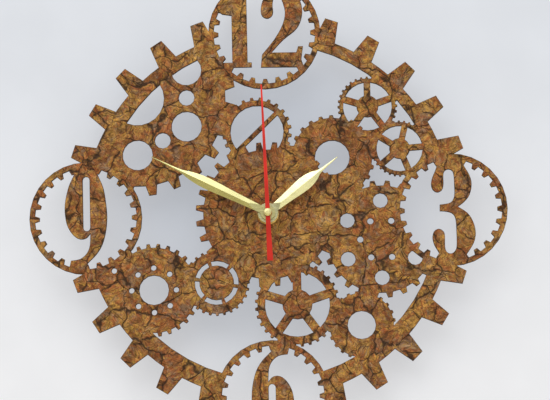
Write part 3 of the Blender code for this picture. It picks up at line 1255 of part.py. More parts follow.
def make_motor():
    """The stator, core, bobbin and winding of the stepping motor."""
    rotor = train_points()["rotor"]
    x = COIL_X
    hole = MAGNET_RADIUS + SEAT_GAP
    coil_low = rotor[1] + hole + STATOR_COLLAR + SEAT_GAP
    coil_high = INSIDE_TOP - COIL_TOP_INSET
    length = coil_high - coil_low
    arm_high = coil_high + SEAT_GAP + STATOR_ARM_WIDTH / 2
    arm_end = x + CORE_WIDTH / 2
    front = PLATE_REAR - SEAT_GAP
    rear = front - STATOR_THICKNESS
    stator = Solid()
    stator.add(circle(rotor, hole + STATOR_COLLAR), rear, front)
    stator.add(strip([rotor, (arm_end, rotor[1])], STATOR_ARM_WIDTH), rear, front)
    stator.add(strip([rotor, (rotor[0], arm_high), (arm_end, arm_high)], STATOR_ARM_WIDTH), rear, front)
    stator.cut(circle(rotor, hole), rear, front)
    stator.build("stator", STEEL)

    core = Solid()
    core_rear = front + SEAT_GAP
    core_front = core_rear + CORE_THICKNESS
    core.add(box(x - CORE_WIDTH / 2, x + CORE_WIDTH / 2, rotor[1] - STATOR_ARM_WIDTH / 2,
                 arm_high + STATOR_ARM_WIDTH / 2), core_rear, core_front)
    core.build("coil_core", STEEL)

    upright = (-math.pi / 2, 0.0, 0.0)
    axis_depth = (core_rear + core_front) / 2
    bobbin = Solid()
    bobbin.add(circle(CENTRE, COIL_RADIUS), 0.0, COIL_FLANGE)
    bobbin.add(circle(CENTRE, COIL_TUBE_RADIUS), COIL_FLANGE, length - COIL_FLANGE)
    bobbin.add(circle(CENTRE, COIL_RADIUS), length - COIL_FLANGE, length)
    bobbin.cut(box(-CORE_WIDTH / 2 - SEAT_GAP, CORE_WIDTH / 2 + SEAT_GAP, -CORE_THICKNESS / 2 - SEAT_GAP,
                   CORE_THICKNESS / 2 + SEAT_GAP), 0.0, length)
    vertices, faces = bobbin.mesh()
    place_mesh("coil_bobbin", WHITE_PLASTIC, vertices, faces, (x, coil_low), upright, axis_depth)

    winding = Solid()
    low = COIL_FLANGE + SEAT_GAP
    high = length - COIL_FLANGE - SEAT_GAP
    winding.add(circle(CENTRE, COIL_RADIUS - SEAT_GAP), low, high)
    winding.cut(circle(CENTRE, COIL_TUBE_RADIUS + SEAT_GAP), low, high)
    vertices, faces = winding.mesh()
    place_mesh("coil_winding", COPPER, vertices, faces, (x, coil_low), upright, axis_depth)


def make_electronics():
    """The circuit board with its chip and crystal, and the two battery contacts."""
    left, right = board_sides()
    rear, front = board_depths()
    board = Solid()
    board.add(box(left, right, BOARD_LOW, BOARD_HIGH), rear, front)
    for at in board_pegs():
        board.cut(circle(at, PEG_RADIUS + SEAT_GAP), rear, front)
    board.build("circuit_board", BOARD_GREEN)

    middle = (BOARD_LOW + BOARD_HIGH) / 2
    chip_rear = rear - SEAT_GAP - CHIP_HEIGHT
    turned("timing_chip", EPOXY_BLACK, (
        (0.0, chip_rear), (CHIP_RADIUS * 0.55, chip_rear + CHIP_HEIGHT * 0.12),
        (CHIP_RADIUS * 0.88, chip_rear + CHIP_HEIGHT * 0.5), (CHIP_RADIUS, rear - SEAT_GAP),
        (0.0, rear - SEAT_GAP)), (left + (right - left) * 0.35, middle))
    crystal_end = left + (right - left) * 0.55
    sideways = (0.0, 0.0, math.pi / 2)
    turned("quartz_crystal", STEEL, (
        (0.0, 0.0), (CRYSTAL_RADIUS, 0.0), (CRYSTAL_RADIUS, CRYSTAL_LENGTH), (0.0, CRYSTAL_LENGTH)),
           (crystal_end, middle), rear - SEAT_GAP - CRYSTAL_RADIUS, sideways)

    minus_x, plus_x = contact_slots()
    cell_end = BATTERY_LENGTH / 2
    pad_rear = BATTERY_REAR + BATTERY_RADIUS - CONTACT_HEIGHT / 2
    pad_front = pad_rear + CONTACT_HEIGHT
    strip_rear = front - CONTACT_STRIP
    pad_low = BAY_BOTTOM + SEAT_GAP
    touch = -cell_end - SEAT_GAP - CONTACT_THICKNESS / 2
    bow = [(minus_x, pad_low), (minus_x, BATTERY_Z - BATTERY_RADIUS * 0.6), (touch, BATTERY_Z),
           (minus_x, BATTERY_Z + BATTERY_RADIUS * 0.6), (minus_x, BAY_TOP - SEAT_GAP)]
    rise = [(minus_x, BAY_TOP - BATTERY_RADIUS * 0.2), (minus_x, BOARD_HIGH)]
    negative = Solid()
    negative.add(strip(bow, CONTACT_THICKNESS), pad_rear, pad_front)
    negative.add(strip(rise, CONTACT_THICKNESS), strip_rear, front)
    negative.build("negative_contact", STEEL)

    positive = Solid()
    nub = cell_end + SEAT_GAP + CONTACT_THICKNESS / 2
    flat = [(plus_x, pad_low), (plus_x, BATTERY_Z - BATTERY_NUB_RADIUS * 1.6), (nub, BATTERY_Z),
            (plus_x, BATTERY_Z + BATTERY_NUB_RADIUS * 1.6), (plus_x, BAY_TOP - SEAT_GAP)]
    top = INSIDE_TOP - SEAT_GAP - CONTACT_THICKNESS / 2
    rise = [(plus_x, BAY_TOP - BATTERY_RADIUS * 0.2), (plus_x, top), (right - PEG_INSET, top)]
    positive.add(strip(flat, CONTACT_THICKNESS), pad_rear, pad_front)
    positive.add(strip(rise, CONTACT_THICKNESS), strip_rear, front)
    positive.build("positive_contact", STEEL)


def make_battery():
    """The AA cell, lying across the bay with its nub to the right."""
    body = BATTERY_LENGTH - BATTERY_NUB_LENGTH
    edge = BATTERY_RADIUS * 0.06
    sideways = (0.0, 0.0, math.pi / 2)
    turned("battery", CELL_GREY, (
        (0.0, 0.0), (BATTERY_RADIUS - edge, 0.0), (BATTERY_RADIUS, edge), (BATTERY_RADIUS, body - edge),
        (BATTERY_RADIUS - edge, body), (BATTERY_NUB_RADIUS, body), (BATTERY_NUB_RADIUS, BATTERY_LENGTH),
        (0.0, BATTERY_LENGTH)), (-BATTERY_LENGTH / 2, BATTERY_Z), BATTERY_REAR + BATTERY_RADIUS, sideways)


def main():
    """Builds the whole clock."""
    clear_scene()
    make_dial()
    make_hands()
    make_clamp()
    make_train()
    make_front_case()
    make_rear_cover()
    make_middle_plate()
    make_motor()
    make_electronics()
    make_battery()


main()
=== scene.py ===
"""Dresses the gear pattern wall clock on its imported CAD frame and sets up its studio."""
import json
import math

import bpy
from bpy.props import FloatProperty, FloatVectorProperty, PointerProperty
from mathutils import Euler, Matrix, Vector

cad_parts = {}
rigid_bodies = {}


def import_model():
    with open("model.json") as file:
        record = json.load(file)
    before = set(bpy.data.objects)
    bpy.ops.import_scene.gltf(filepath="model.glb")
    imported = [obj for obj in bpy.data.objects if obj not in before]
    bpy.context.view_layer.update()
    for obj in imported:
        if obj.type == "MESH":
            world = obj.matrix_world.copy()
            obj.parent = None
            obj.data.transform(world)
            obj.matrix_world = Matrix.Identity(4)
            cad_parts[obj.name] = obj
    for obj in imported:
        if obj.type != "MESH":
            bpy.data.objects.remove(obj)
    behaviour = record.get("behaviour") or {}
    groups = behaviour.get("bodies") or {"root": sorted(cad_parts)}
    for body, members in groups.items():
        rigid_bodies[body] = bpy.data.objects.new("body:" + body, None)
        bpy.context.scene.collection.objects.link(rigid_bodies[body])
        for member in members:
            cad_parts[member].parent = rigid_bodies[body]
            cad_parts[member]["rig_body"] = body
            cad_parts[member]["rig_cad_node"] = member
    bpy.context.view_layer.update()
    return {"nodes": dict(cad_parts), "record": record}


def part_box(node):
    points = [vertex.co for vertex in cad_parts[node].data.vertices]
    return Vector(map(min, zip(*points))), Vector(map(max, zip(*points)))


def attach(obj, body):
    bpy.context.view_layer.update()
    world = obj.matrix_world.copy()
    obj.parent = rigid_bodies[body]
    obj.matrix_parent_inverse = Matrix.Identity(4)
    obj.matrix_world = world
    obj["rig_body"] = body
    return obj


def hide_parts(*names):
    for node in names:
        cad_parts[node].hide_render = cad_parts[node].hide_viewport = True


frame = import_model()
IMAGE_WIDTH = 550
BODIES = frame["record"]["behaviour"]["bodies"]
BODY_OF = {node: body for body, nodes in BODIES.items() for node in nodes}

FRONT = (0.0, -1.0, 0.0)
UP = (0.0, 0.0, 1.0)
ORIGIN = (0.0, 0.0, 0.0)

# Angles in degrees: what is merged as flat, what is rounded, and what is shaded smooth
FLAT_ANGLE = 0.5
HARD_ANGLE = 28.0
SMOOTH_ANGLE = 32.0
FACET_ANGLE = 8.0

# Vertices closer than this are one, in metres
MERGE_DISTANCE = 0.000001

# How finely rounded edges, the collet's dome and turned rings are divided
BEVEL_SEGMENTS = 2
DOME_LEVELS = 2
BUSHING_SIDES = 64
COIL_SIDES = 48

# A face looks along an axis above the first share of its normal, and across it below the second
ALONG = 0.9
ACROSS = 0.5

# The attribute that stores how burnt the sheet is
CHAR = "char"

# The range that most noise keeps to
NOISE_LOW = 0.3
NOISE_HIGH = 0.7

# Size and push of the two warps that bend the coat's patterns, in metres
SLOW_BEND = (0.020, 0.016)
QUICK_BEND = (0.004, 0.0030)

# Usual size of the places where the large and the fine cracks break off, in metres
CRACK_BREAK = 0.011
FINE_CRACK_BREAK = 0.009
# Size of the fine cracks' cells as a share of the large ones
FINE_CRACK_SHARE = 0.45

# The value at which noise turns back, which folds it into curling lines and wrinkles
CURL_FOLD = 0.06
WRINKLE_FOLD = 0.055
# The folded value where a curling line ends, and what curls and specks add to the relief
CURL_LINE = 0.026
CURL_RISE = 8.0
SPECK_RISE = 0.6

# How strongly each dark line and the burnt rim cover the coat
CRACK_STRENGTH = 0.92
FINE_CRACK_STRENGTH = 0.85
WRINKLE_STRENGTH = 0.65
CHAR_STRENGTH = 0.6

# Usual scale of moulded grain and brushed lines, and their scale on the circuit board and the hands
GRAIN_SCALE = 2200.0
BRUSH_SCALE = 3000.0
BOARD_GRAIN_SCALE = 1800.0
HAND_BRUSH_SCALE = 2400.0

# Height of the relief of each pattern, in metres
GRAIN_RELIEF = 0.00006
BRUSH_RELIEF = 0.00003
STREAK_RELIEF = 0.0001
FIBRE_RELIEF = 0.00012

# Size of the burnt streaks in the cuts, and of the fibres and clouds on the sheet's back, in metres
STREAK_SIZE = 0.0012
FIBRE_BEND = (0.003, 0.002)
FIBRE_SIZE = 0.0009
FIBRE_CLOUD_SIZE = 0.035

# Size of the fine flecks in the gold hands in metres, and their bare metal as linear values
FLECK_SIZE = 0.0009
FLECK_METAL = (0.9, 0.9, 0.86)

# Size and push of the warp that bends the circuit board's traces in metres, and how dense they are
TRACE_BEND = (0.006, 0.003)
TRACE_SCALE = 160.0

# Width, height and place of each lamp in metres, and the point that all of them face
KEY_LAMP = (1.4, 1.0, (-0.45, -1.50, 1.10))
STRIP_LAMP = (1.0, 0.35, (-0.10, -1.75, 0.82))
FILL_LAMP = (0.9, 0.9, (0.45, -1.80, -0.35))
REAR_LAMP = (1.4, 1.4, (-0.60, 1.80, 0.80))
LAMP_TARGET = (0.0, -0.02, 0.0)

# Scale of the faint clouds on the wall and the floor, from their size in metres
CLOUD_SCALE = 1.0 / 0.06

# The sky is dark up to the first height, where 1 is straight up, and bright from the second
SKY_START = -0.17
SKY_END = 0.57
SKY_DARK = 0.28
SKY_BRIGHT = 1.40

bl_info = {
    "name": "Gear Pattern Wall Clock",
    "version": (1, 0, 0),
    "blender": (4, 5, 0),
    "location": "View3D > Sidebar > Wall Clock",
    "description": "Gives a gear pattern wall clock its finished shapes and materials",
    "category": "Object",
}


def srgb(red, green, blue):
    """Linear values for a colour given as a screen shows it, from 0 to 255."""
    shares = (red / 255, green / 255, blue / 255)
    return tuple(((c + 0.055) / 1.055) ** 2.4 if c > 0.04045 else c / 12.92 for c in shares)


def length(name, description, default):
    """A property for a size in metres."""
    return FloatProperty(name=name, description=description, default=default, min=0.0, precision=5,
                         unit="LENGTH")


def angle(name, description, degrees):
    """A property for an angle, given in degrees."""
    return FloatProperty(name=name, description=description, default=math.radians(degrees), subtype="ANGLE")


def power(name, description, watts):
    """A property for a lamp's power in watts."""
    return FloatProperty(name=name, description=description, default=watts, min=0.0, unit="POWER")


def share(name, description, default):
    """A property for a part of a whole, from 0 to 1."""
    return FloatProperty(name=name, description=description, default=default, min=0.0, max=1.0,
                         subtype="FACTOR")


def colour(name, description, red, green, blue):
    """A property for a colour, given as a screen shows it."""
    return FloatVectorProperty(name=name, description=description, default=srgb(red, green, blue), size=3,
                               min=0.0, max=1.0, subtype="COLOR")


class DialSettings(bpy.types.PropertyGroup):
    """Sizes and colours of the crackled dial sheet."""
    chamfer: length("Chamfer", "Width of the burnt bevel along every cut", 0.00015)
    chamfer_depth: length("Chamfer depth", "How far the burnt bevel falls back", 0.0001)
    char_fade: length("Char fade", "Width over which the burnt edge fades into the coat", 0.0003)
    crack_cell: length("Crack cell", "Usual distance between two large cracks", 0.015)
    crack_width: length("Crack width", "Width of a large crack", 0.0011)
    wrinkle_cell: length("Wrinkle cell", "Usual distance between two curling wrinkles", 0.009)
    wrinkle_share: share("Wrinkle share", "Share of a fold that its dark line takes", 0.018)
    patch_cell: length("Patch cell", "Usual size of the light and the darker patches", 0.026)
    stain_cell: length("Stain cell", "Usual size of the red and the grey stains", 0.013)
    fleck_cell: length("Fleck cell", "Usual size of the coloured flecks", 0.0036)
    tone_cell: length("Tone cell", "Usual size of the light and dark tones", 0.006)
    speck_cell: length("Speck cell", "Usual size of the fine specks", 0.0022)
    curl_cell: length("Curl cell", "Usual size of the fine curling lines", 0.0048)
    relief: length("Relief", "Height of the crackle's relief", 0.0005)
    gold_brown: colour("Gold brown", "Light patches of the coat", 192, 142, 72)
    red_brown: colour("Red brown", "Darker patches of the coat", 164, 104, 57)
    rust: colour("Rust", "Red stains and flecks of the coat", 164, 89, 44)
    ochre: colour("Ochre", "Yellow flecks of the coat", 206, 156, 66)
    bark_grey: colour("Bark grey", "Grey stains and flecks of the coat", 147, 124, 99)
    dark_brown: colour("Dark brown", "Wrinkles of the coat", 92, 59, 33)
    crack_black: colour("Crack black", "Bottom of the cracks", 56, 38, 24)
    char_brown: colour("Char brown", "Burnt walls of the cuts", 74, 48, 28)
    bare_board: colour("Bare board", "Uncoated back of the sheet", 150, 116, 80)


class HandSettings(bpy.types.PropertyGroup):
    """Sizes and colours of the hands."""
    facet_edge: length("Facet edge", "Rounding of the faceted hands' edges", 0.00008)
    second_edge: length("Second hand edge", "Rounding of the second hand's edges", 0.00006)
    minute_gold: colour("Minute gold", "Metal of the minute hand", 218, 210, 148)
    hour_gold: colour("Hour gold", "Paler metal of the hour hand", 222, 217, 168)
    dome_gold: colour("Dome gold", "Metal of the centre dome", 240, 230, 170)
    signal_red: colour("Signal red", "Paint of the second hand", 241, 60, 47)


class MovementSettings(bpy.types.PropertyGroup):
    """Sizes and colours of the movement behind the dial."""
    moulding_edge: length("Moulding edge", "Rounding of the moulded case's edges", 0.0003)
    metal_edge: length("Metal edge", "Rounding of turned and stamped metal edges", 0.0001)
    thread_pitch: length("Thread pitch", "Distance between two threads of the bushing", 0.00075)
    thread_depth: length("Thread depth", "Depth of the bushing's threads", 0.00022)
    wire: length("Wire", "Width of one visible turn of the coil", 0.0003)
    panel_margin: length("Panel margin", "From the cover's edges to its sunk panel", 0.0014)
    panel_depth: length("Panel depth", "How deep the cover's panel is sunk", 0.00025)
    black_plastic: colour("Black plastic", "Case, cover and knob", 38, 38, 40)
    white_plastic: colour("White plastic", "Wheels, plate and bobbin", 226, 224, 214)
    brass: colour("Brass", "Nut, washer, bushing and centre wheel", 212, 176, 104)
    steel: colour("Steel", "Stator, core, contacts and magnet", 176, 178, 182)
    copper: colour("Copper", "Varnished wire of the coil", 184, 98, 56)
    rubber: colour("Rubber", "Washer behind the sheet", 30, 30, 31)
    board_green: colour("Board green", "Lacquer of the circuit board", 34, 92, 54)
    cell_sleeve: colour("Cell sleeve", "Plain sleeve of the cell", 96, 100, 106)


class StageSettings(bpy.types.PropertyGroup):
    """The camera, the lights, the wall and the floor."""
    camera_distance: length("Camera distance", "From the lens to the dial", 2.0)
    camera_elevation: angle("Camera elevation", "Lift of the lens over the dial, negative from below", -6.4)
    camera_azimuth: angle("Camera azimuth", "Turn of the lens round the clock, positive to the right", 1.2)
    camera_roll: angle("Camera roll", "Tilt that turns the picture counterclockwise", 1.27)
    pixel: length("Pixel", "Size of one pixel at the dial", 0.0006276)
    aim_right: length("Aim right", "How far right of the dial's middle the lens aims", 0.00444)
    aim_up: length("Aim up", "How far above the dial's middle the lens aims", 0.00887)
    wall_gap: length("Wall gap", "Air between the rear cover and the wall", 0.0004)
    wall_size: length("Wall size", "Width of the wall and the floor", 40.0)
    floor_drop: length("Floor drop", "From the hands' axis down to the floor", 1.1)
    wall_high: colour("Wall above", "Pale wall above the clock", 236, 239, 244)
    wall_low: colour("Wall below", "Pale wall below the clock", 254, 254, 255)
    # Painted shade behind the clock: a darker tint, even within the first radius and gone by the second,
    # where the clock's shadow falls on the wall
    painted_wall_shade: colour("Wall dusk", "Tint of the wall's darker patch behind the clock", 220, 224, 230)
    wall_fade: length("Wall fade", "Half the height over which the wall's two shades meet", 0.14)
    painted_shade_inner: length("Dusk inner", "Radius of the darker patch where it is even", 0.05)
    painted_shade_outer: length("Dusk outer", "Radius of the darker patch where it ends", 0.17)
    wall_glow: share("Wall glow", "Share of the wall's colour that no shadow reaches", 0.6)
    floor_grey: colour("Floor grey", "Plain pale floor", 190, 190, 188)
    # Painted reflection: the floor shows this warmer tint only in glossy reflections, which makes the hands'
    # lower facets olive
    painted_floor_reflection: colour("Floor warmth", "Tint of the floor as polished metal mirrors it", 196, 190, 158)
    key_power: power("Key power", "Large soft lamp from the upper left", 6.5)
    strip_power: power("Strip power", "Strip lamp that lights the hands' upper facets", 0.7)
    strip_tint: colour("Strip tint", "Cool light of the strip lamp", 206, 228, 255)
    fill_power: power("Fill power", "Soft lamp from the lower right", 1.7)
    rear_power: power("Rear power", "Lamp that lights the clock's back", 9.0)
    sky: FloatProperty(name="Sky", description="Strength of the light all round", default=0.75, min=0.0)


def pick(*objects):
    """Selects only these objects, and makes the first one active."""
    bpy.ops.object.select_all(action="DESELECT")
    for item in objects:
        item.select_set(True)
    bpy.context.view_layer.objects.active = objects[0]


def copy_of(node, name, clean=True):
    """A merged copy of a CAD node, free of its parent, for shaping."""
    pick(frame["nodes"][node])
    bpy.ops.object.duplicate()
    piece = bpy.context.object
    piece.name = piece.data.name = name
    bpy.ops.object.parent_clear(type="CLEAR_KEEP_TRANSFORM")
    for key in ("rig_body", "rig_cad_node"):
        del piece[key]
    piece.data.materials.clear()
    bpy.ops.mesh.customdata_custom_splitnormals_clear()
    bpy.ops.object.mode_set(mode="EDIT")
    bpy.ops.mesh.select_all(action="SELECT")
    bpy.ops.mesh.remove_doubles(threshold=MERGE_DISTANCE)
    if clean:
        bpy.ops.mesh.dissolve_limited(angle_limit=math.radians(FLAT_ANGLE))
    bpy.ops.object.mode_set(mode="OBJECT")
    return piece


def select_only(piece, kind, chosen):
    """Opens a piece in edit mode with only the chosen faces or vertices selected, given by number."""
    pick(piece)
    bpy.ops.object.mode_set(mode="EDIT")
    bpy.ops.mesh.select_mode(type=kind)
    bpy.ops.mesh.select_all(action="DESELECT")
    bpy.ops.object.mode_set(mode="OBJECT")
    items = piece.data.polygons if kind == "FACE" else piece.data.vertices
    for number in chosen:
        items[number].select = True
    bpy.ops.object.mode_set(mode="EDIT")


def soften(piece, width):
    """Rounds every hard edge of a piece."""
    pick(piece)
    bpy.ops.object.modifier_add(type="BEVEL")
    bevel = piece.modifiers[-1]
    bevel.width = width
    bevel.segments = BEVEL_SEGMENTS
    bevel.limit_method = "ANGLE"
    bevel.angle_limit = math.radians(HARD_ANGLE)
    bpy.ops.object.modifier_apply(modifier=bevel.name)


def dress(piece, materials, node, smooth=SMOOTH_ANGLE):
    """Gives a finished piece its materials and puts it in the place of a CAD node."""
    for material in materials:
        piece.data.materials.append(material)
    pick(piece)
    bpy.ops.object.shade_smooth_by_angle(angle=math.radians(smooth))
    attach(piece, BODY_OF[node])
    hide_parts(node)


def paint(material, *nodes):
    """Gives CAD nodes that keep their shape a finished material."""
    for node in nodes:
        piece = frame["nodes"][node]
        piece.data.materials.clear()
        piece.data.materials.append(material)


def settle():
    """Moves the active object's place and turn into its mesh."""
    bpy.ops.object.transform_apply(location=True, rotation=True, scale=True)


def turned(name, stations, sides, at, direction):
    """A turned piece: a disc that is extruded and resized through stations of (radius, height)."""
    bpy.ops.object.select_all(action="DESELECT")
    bpy.ops.mesh.primitive_circle_add(vertices=sides, radius=stations[0][0], fill_type="NGON",
                                      location=(0.0, 0.0, stations[0][1]))
    piece = bpy.context.object
    piece.name = piece.data.name = name
    settle()
    bpy.ops.object.mode_set(mode="EDIT")
    bpy.ops.mesh.select_all(action="SELECT")
    for (old_radius, old_height), (radius, height) in zip(stations, stations[1:]):
        bpy.ops.mesh.extrude_region_move(TRANSFORM_OT_translate={"value": (0.0, 0.0, height - old_height)})
        bpy.ops.transform.resize(value=(radius / old_radius, radius / old_radius, 1.0),
                                 center_override=(0.0, 0.0, height))
    bpy.ops.object.mode_set(mode="OBJECT")
    piece.rotation_euler = Vector(UP).rotation_difference(Vector(direction)).to_euler()
    piece.location = at
    settle()
    return piece


def join_bore(piece, sides):
    """Replaces a turned piece's two end discs with a bore between their rims."""
    select_only(piece, "FACE", [face.index for face in piece.data.polygons if len(face.vertices) == sides])
    bpy.ops.mesh.delete(type="ONLY_FACE")
    bpy.ops.mesh.select_mode(type="EDGE")
    bpy.ops.mesh.select_non_manifold()
    bpy.ops.mesh.bridge_edge_loops()
    bpy.ops.mesh.select_all(action="SELECT")
    bpy.ops.mesh.normals_make_consistent(inside=False)
    bpy.ops.object.mode_set(mode="OBJECT")


def middle_of(node):
    """Middle of a CAD node's box."""
    low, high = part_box(node)
    return (low + high) / 2


def ring_sizes(node, axis, at):
    """Radius and height of each vertex of a CAD node about an axis through a point."""
    sizes = []
    for vertex in frame["nodes"][node].data.vertices:
        offset = vertex.co - Vector(at)
        height = offset.dot(Vector(axis))
        sizes.append(((offset - height * Vector(axis)).length, height))
    return sizes


def ridges(radius, depth, start, end, pitch):
    """Stations of a turned surface with evenly spaced grooves, as threads or wound wire show."""
    count = int((end - start) / pitch)
    stations = []
    for i in range(count):
        stations += [(radius, start + i * pitch), (radius - depth, start + (i + 0.5) * pitch)]
    return stations + [(radius, start + count * pitch)]


class Graph:
    """Adds nodes to a material or a node group and links them."""
    per_row = 8
    step_across, step_down = 220.0, 260.0

    def __init__(self, tree):
        self.tree = tree
        tree.nodes.clear()

    def add(self, kind, inputs=None, **settings):
        """A node with its settings, and its inputs linked or set by name or number."""
        node = self.tree.nodes.new(kind)
        row, column = divmod(len(self.tree.nodes), self.per_row)
        node.location = (column * self.step_across, -row * self.step_down)
        for key, value in settings.items():
            setattr(node, key, value)
        for key, value in (inputs or {}).items():
            self.feed(node.inputs[key], value)
        return node

    def feed(self, socket, value):
        """Links another node's output to a socket, or sets the socket's own value."""
        if isinstance(value, bpy.types.NodeSocket):
            self.tree.links.new(value, socket)
        elif socket.type == "RGBA" and len(value) == 3:
            socket.default_value = (*value, 1.0)
        else:
            socket.default_value = value

    def place(self, scale=(1.0, 1.0, 1.0)):
        """Object coordinates in metres, stretched by a scale."""
        coordinates = self.add("ShaderNodeTexCoord").outputs["Object"]
        return self.add("ShaderNodeMapping", {"Vector": coordinates, "Scale": scale}).outputs["Vector"]

    def noise(self, vector, size, detail=3.0, roughness=0.5, output="Fac"):
        """Cloudy noise whose patches are about the given size, as a value or a colour."""
        return self.add("ShaderNodeTexNoise", {"Vector": vector, "Scale": 1.0 / size, "Detail": detail,
                                               "Roughness": roughness}).outputs[output]

    def crack_distance(self, vector, cell):
        """Distance to the nearest edge of a cell pattern, as a share of the cells' size."""
        return self.add("ShaderNodeTexVoronoi", {"Vector": vector, "Scale": 1.0 / cell},
                        feature="DISTANCE_TO_EDGE").outputs["Distance"]

    def warp(self, vector, size, amount):
        """Coordinates pushed about by noise."""
        push = self.noise(vector, size, output="Color")
        centred = self.vectors("SUBTRACT", {0: push, 1: (0.5, 0.5, 0.5)})
        scaled = self.vectors("SCALE", {0: centred, "Scale": amount})
        return self.vectors("ADD", {0: vector, 1: scaled})

    def vectors(self, operation, inputs, output="Vector"):
        """The result of one operation on vectors."""
        return self.add("ShaderNodeVectorMath", inputs, operation=operation).outputs[output]

    def remap(self, value, old_low, old_high, low, high):
        """A value carried smoothly from one range to another."""
        return self.add("ShaderNodeMapRange", {"Value": value, "From Min": old_low, "From Max": old_high,
                                               "To Min": low, "To Max": high},
                        interpolation_type="SMOOTHSTEP").outputs["Result"]

    def spread(self, noise, low, high):
        """Noise spread from the range that it mostly keeps to over another range."""
        return self.remap(noise, NOISE_LOW, NOISE_HIGH, low, high)

    def maths(self, operation, first, second):
        """The result of one operation on two values."""
        return self.add("ShaderNodeMath", {0: first, 1: second}, operation=operation).outputs[0]

    def mix(self, factor, first, second, blend="MIX"):
        """Two colours mixed."""
        return self.add("ShaderNodeMix", {0: factor, 6: first, 7: second}, data_type="RGBA",
                        blend_type=blend).outputs[2]

    def surface(self, height, bump, relief, **sockets):
        """A Principled surface with bump from a height, as the material's output."""
        normal = self.add("ShaderNodeBump", {"Height": height, "Strength": bump, "Distance": relief})
        inputs = {key.replace("_", " "): value for key, value in sockets.items()}
        shader = self.add("ShaderNodeBsdfPrincipled", {**inputs, "Normal": normal.outputs["Normal"]})
        self.add("ShaderNodeOutputMaterial", {"Surface": shader.outputs["BSDF"]})


def new_material(name):
    """An empty node material and the graph that fills it."""
    material = bpy.data.materials.new(name)
    material.use_nodes = True
    return material, Graph(material.node_tree)


def build_effect(name, inputs, outputs, fill):
    """A shader node group with named inputs and outputs, filled by fill(graph, input sockets)."""
    tree = bpy.data.node_groups.new(name, "ShaderNodeTree")
    for socket, default in inputs.items():
        made = tree.interface.new_socket(name=socket, in_out="INPUT", socket_type="NodeSocketFloat")
        made.default_value = default
    for socket in outputs:
        tree.interface.new_socket(name=socket, in_out="OUTPUT", socket_type="NodeSocketFloat")
    graph = Graph(tree)
    values = fill(graph, graph.add("NodeGroupInput").outputs)
    graph.add("NodeGroupOutput", dict(zip(outputs, values)))
    return tree


def effect(graph, name, inputs, outputs, fill):
    """The outputs of an effect that materials share: a node group, built at its first use."""
    tree = bpy.data.node_groups.get(name) or build_effect(name, inputs, outputs, fill)
    return graph.add("ShaderNodeGroup", inputs, node_tree=tree).outputs


def fine_and_slow(graph, scale, stretch, slowness):
    """Fine noise, stretched, and a much slower drift of tone."""
    fine = graph.add("ShaderNodeTexNoise", {"Vector": graph.place(stretch), "Scale": scale, "Detail": 2.0})
    slow = graph.maths("MULTIPLY", scale, slowness)
    drift = graph.add("ShaderNodeTexNoise", {"Vector": graph.place(), "Scale": slow, "Detail": 3.0})
    return fine.outputs["Fac"], drift.outputs["Fac"]


def fill_grain(graph, given):
    """Fine moulding grain, and a slow drift of tone over the piece."""
    return fine_and_slow(graph, given["Scale"], (1.0, 1.0, 1.0), 0.04)


def fill_brushing(graph, given):
    """Fine lines along X, as a brush leaves them, and a slow drift of tone."""
    return fine_and_slow(graph, given["Scale"], (0.04, 1.0, 1.0), 0.06)


def grained(graph, scale):
    """The grain that moulded, rubber and painted pieces share."""
    return effect(graph, "moulding grain", {"Scale": scale}, ("Grain", "Drift"), fill_grain)


def brushed(graph, scale):
    """The brushing that metal pieces share."""
    return effect(graph, "brushed lines", {"Scale": scale}, ("Lines", "Drift"), fill_brushing)


def shade_of(tint, factor):
    """A colour made darker or lighter."""
    return tuple(min(1.0, c * factor) for c in tint)


def moulded(name, tint, roughness, scale=GRAIN_SCALE, bump=0.25, shine=0.5):
    """Plastic, rubber or paint with fine grain and a slight drift of tone."""
    material, graph = new_material(name)
    grain = grained(graph, scale)
    drift = graph.spread(grain["Drift"], 0.0, 1.0)
    graph.surface(grain["Grain"], bump, GRAIN_RELIEF, Specular_IOR_Level=shine,
                  Base_Color=graph.mix(drift, shade_of(tint, 0.86), shade_of(tint, 1.12)),
                  Roughness=graph.spread(grain["Grain"], roughness - 0.07, roughness + 0.07))
    return material


def metal(name, tint, roughness):
    """Metal with fine brushed lines and a slight drift of tone."""
    material, graph = new_material(name)
    brushing = brushed(graph, BRUSH_SCALE)
    drift = graph.spread(brushing["Drift"], 0.0, 1.0)
    graph.surface(brushing["Lines"], 0.1, BRUSH_RELIEF, Metallic=1.0,
                  Base_Color=graph.mix(drift, shade_of(tint, 0.9), shade_of(tint, 1.06)),
                  Roughness=graph.spread(brushing["Lines"], roughness - 0.06, roughness + 0.08))
    return material


def fill_burnt_rim(graph, given):
    """How burnt the sheet is, which it stores beside its cuts."""
    burnt = graph.add("ShaderNodeAttribute", attribute_name=CHAR).outputs["Fac"]
    return (graph.maths("MULTIPLY", burnt, given["Strength"]),)


def charred(graph, dial, tint):
    """A colour that turns brown where the sheet is burnt."""
    burnt = effect(graph, "burnt rim", {"Strength": CHAR_STRENGTH}, ("Burnt",), fill_burnt_rim)["Burnt"]
    return graph.mix(burnt, tint, dial.char_brown)


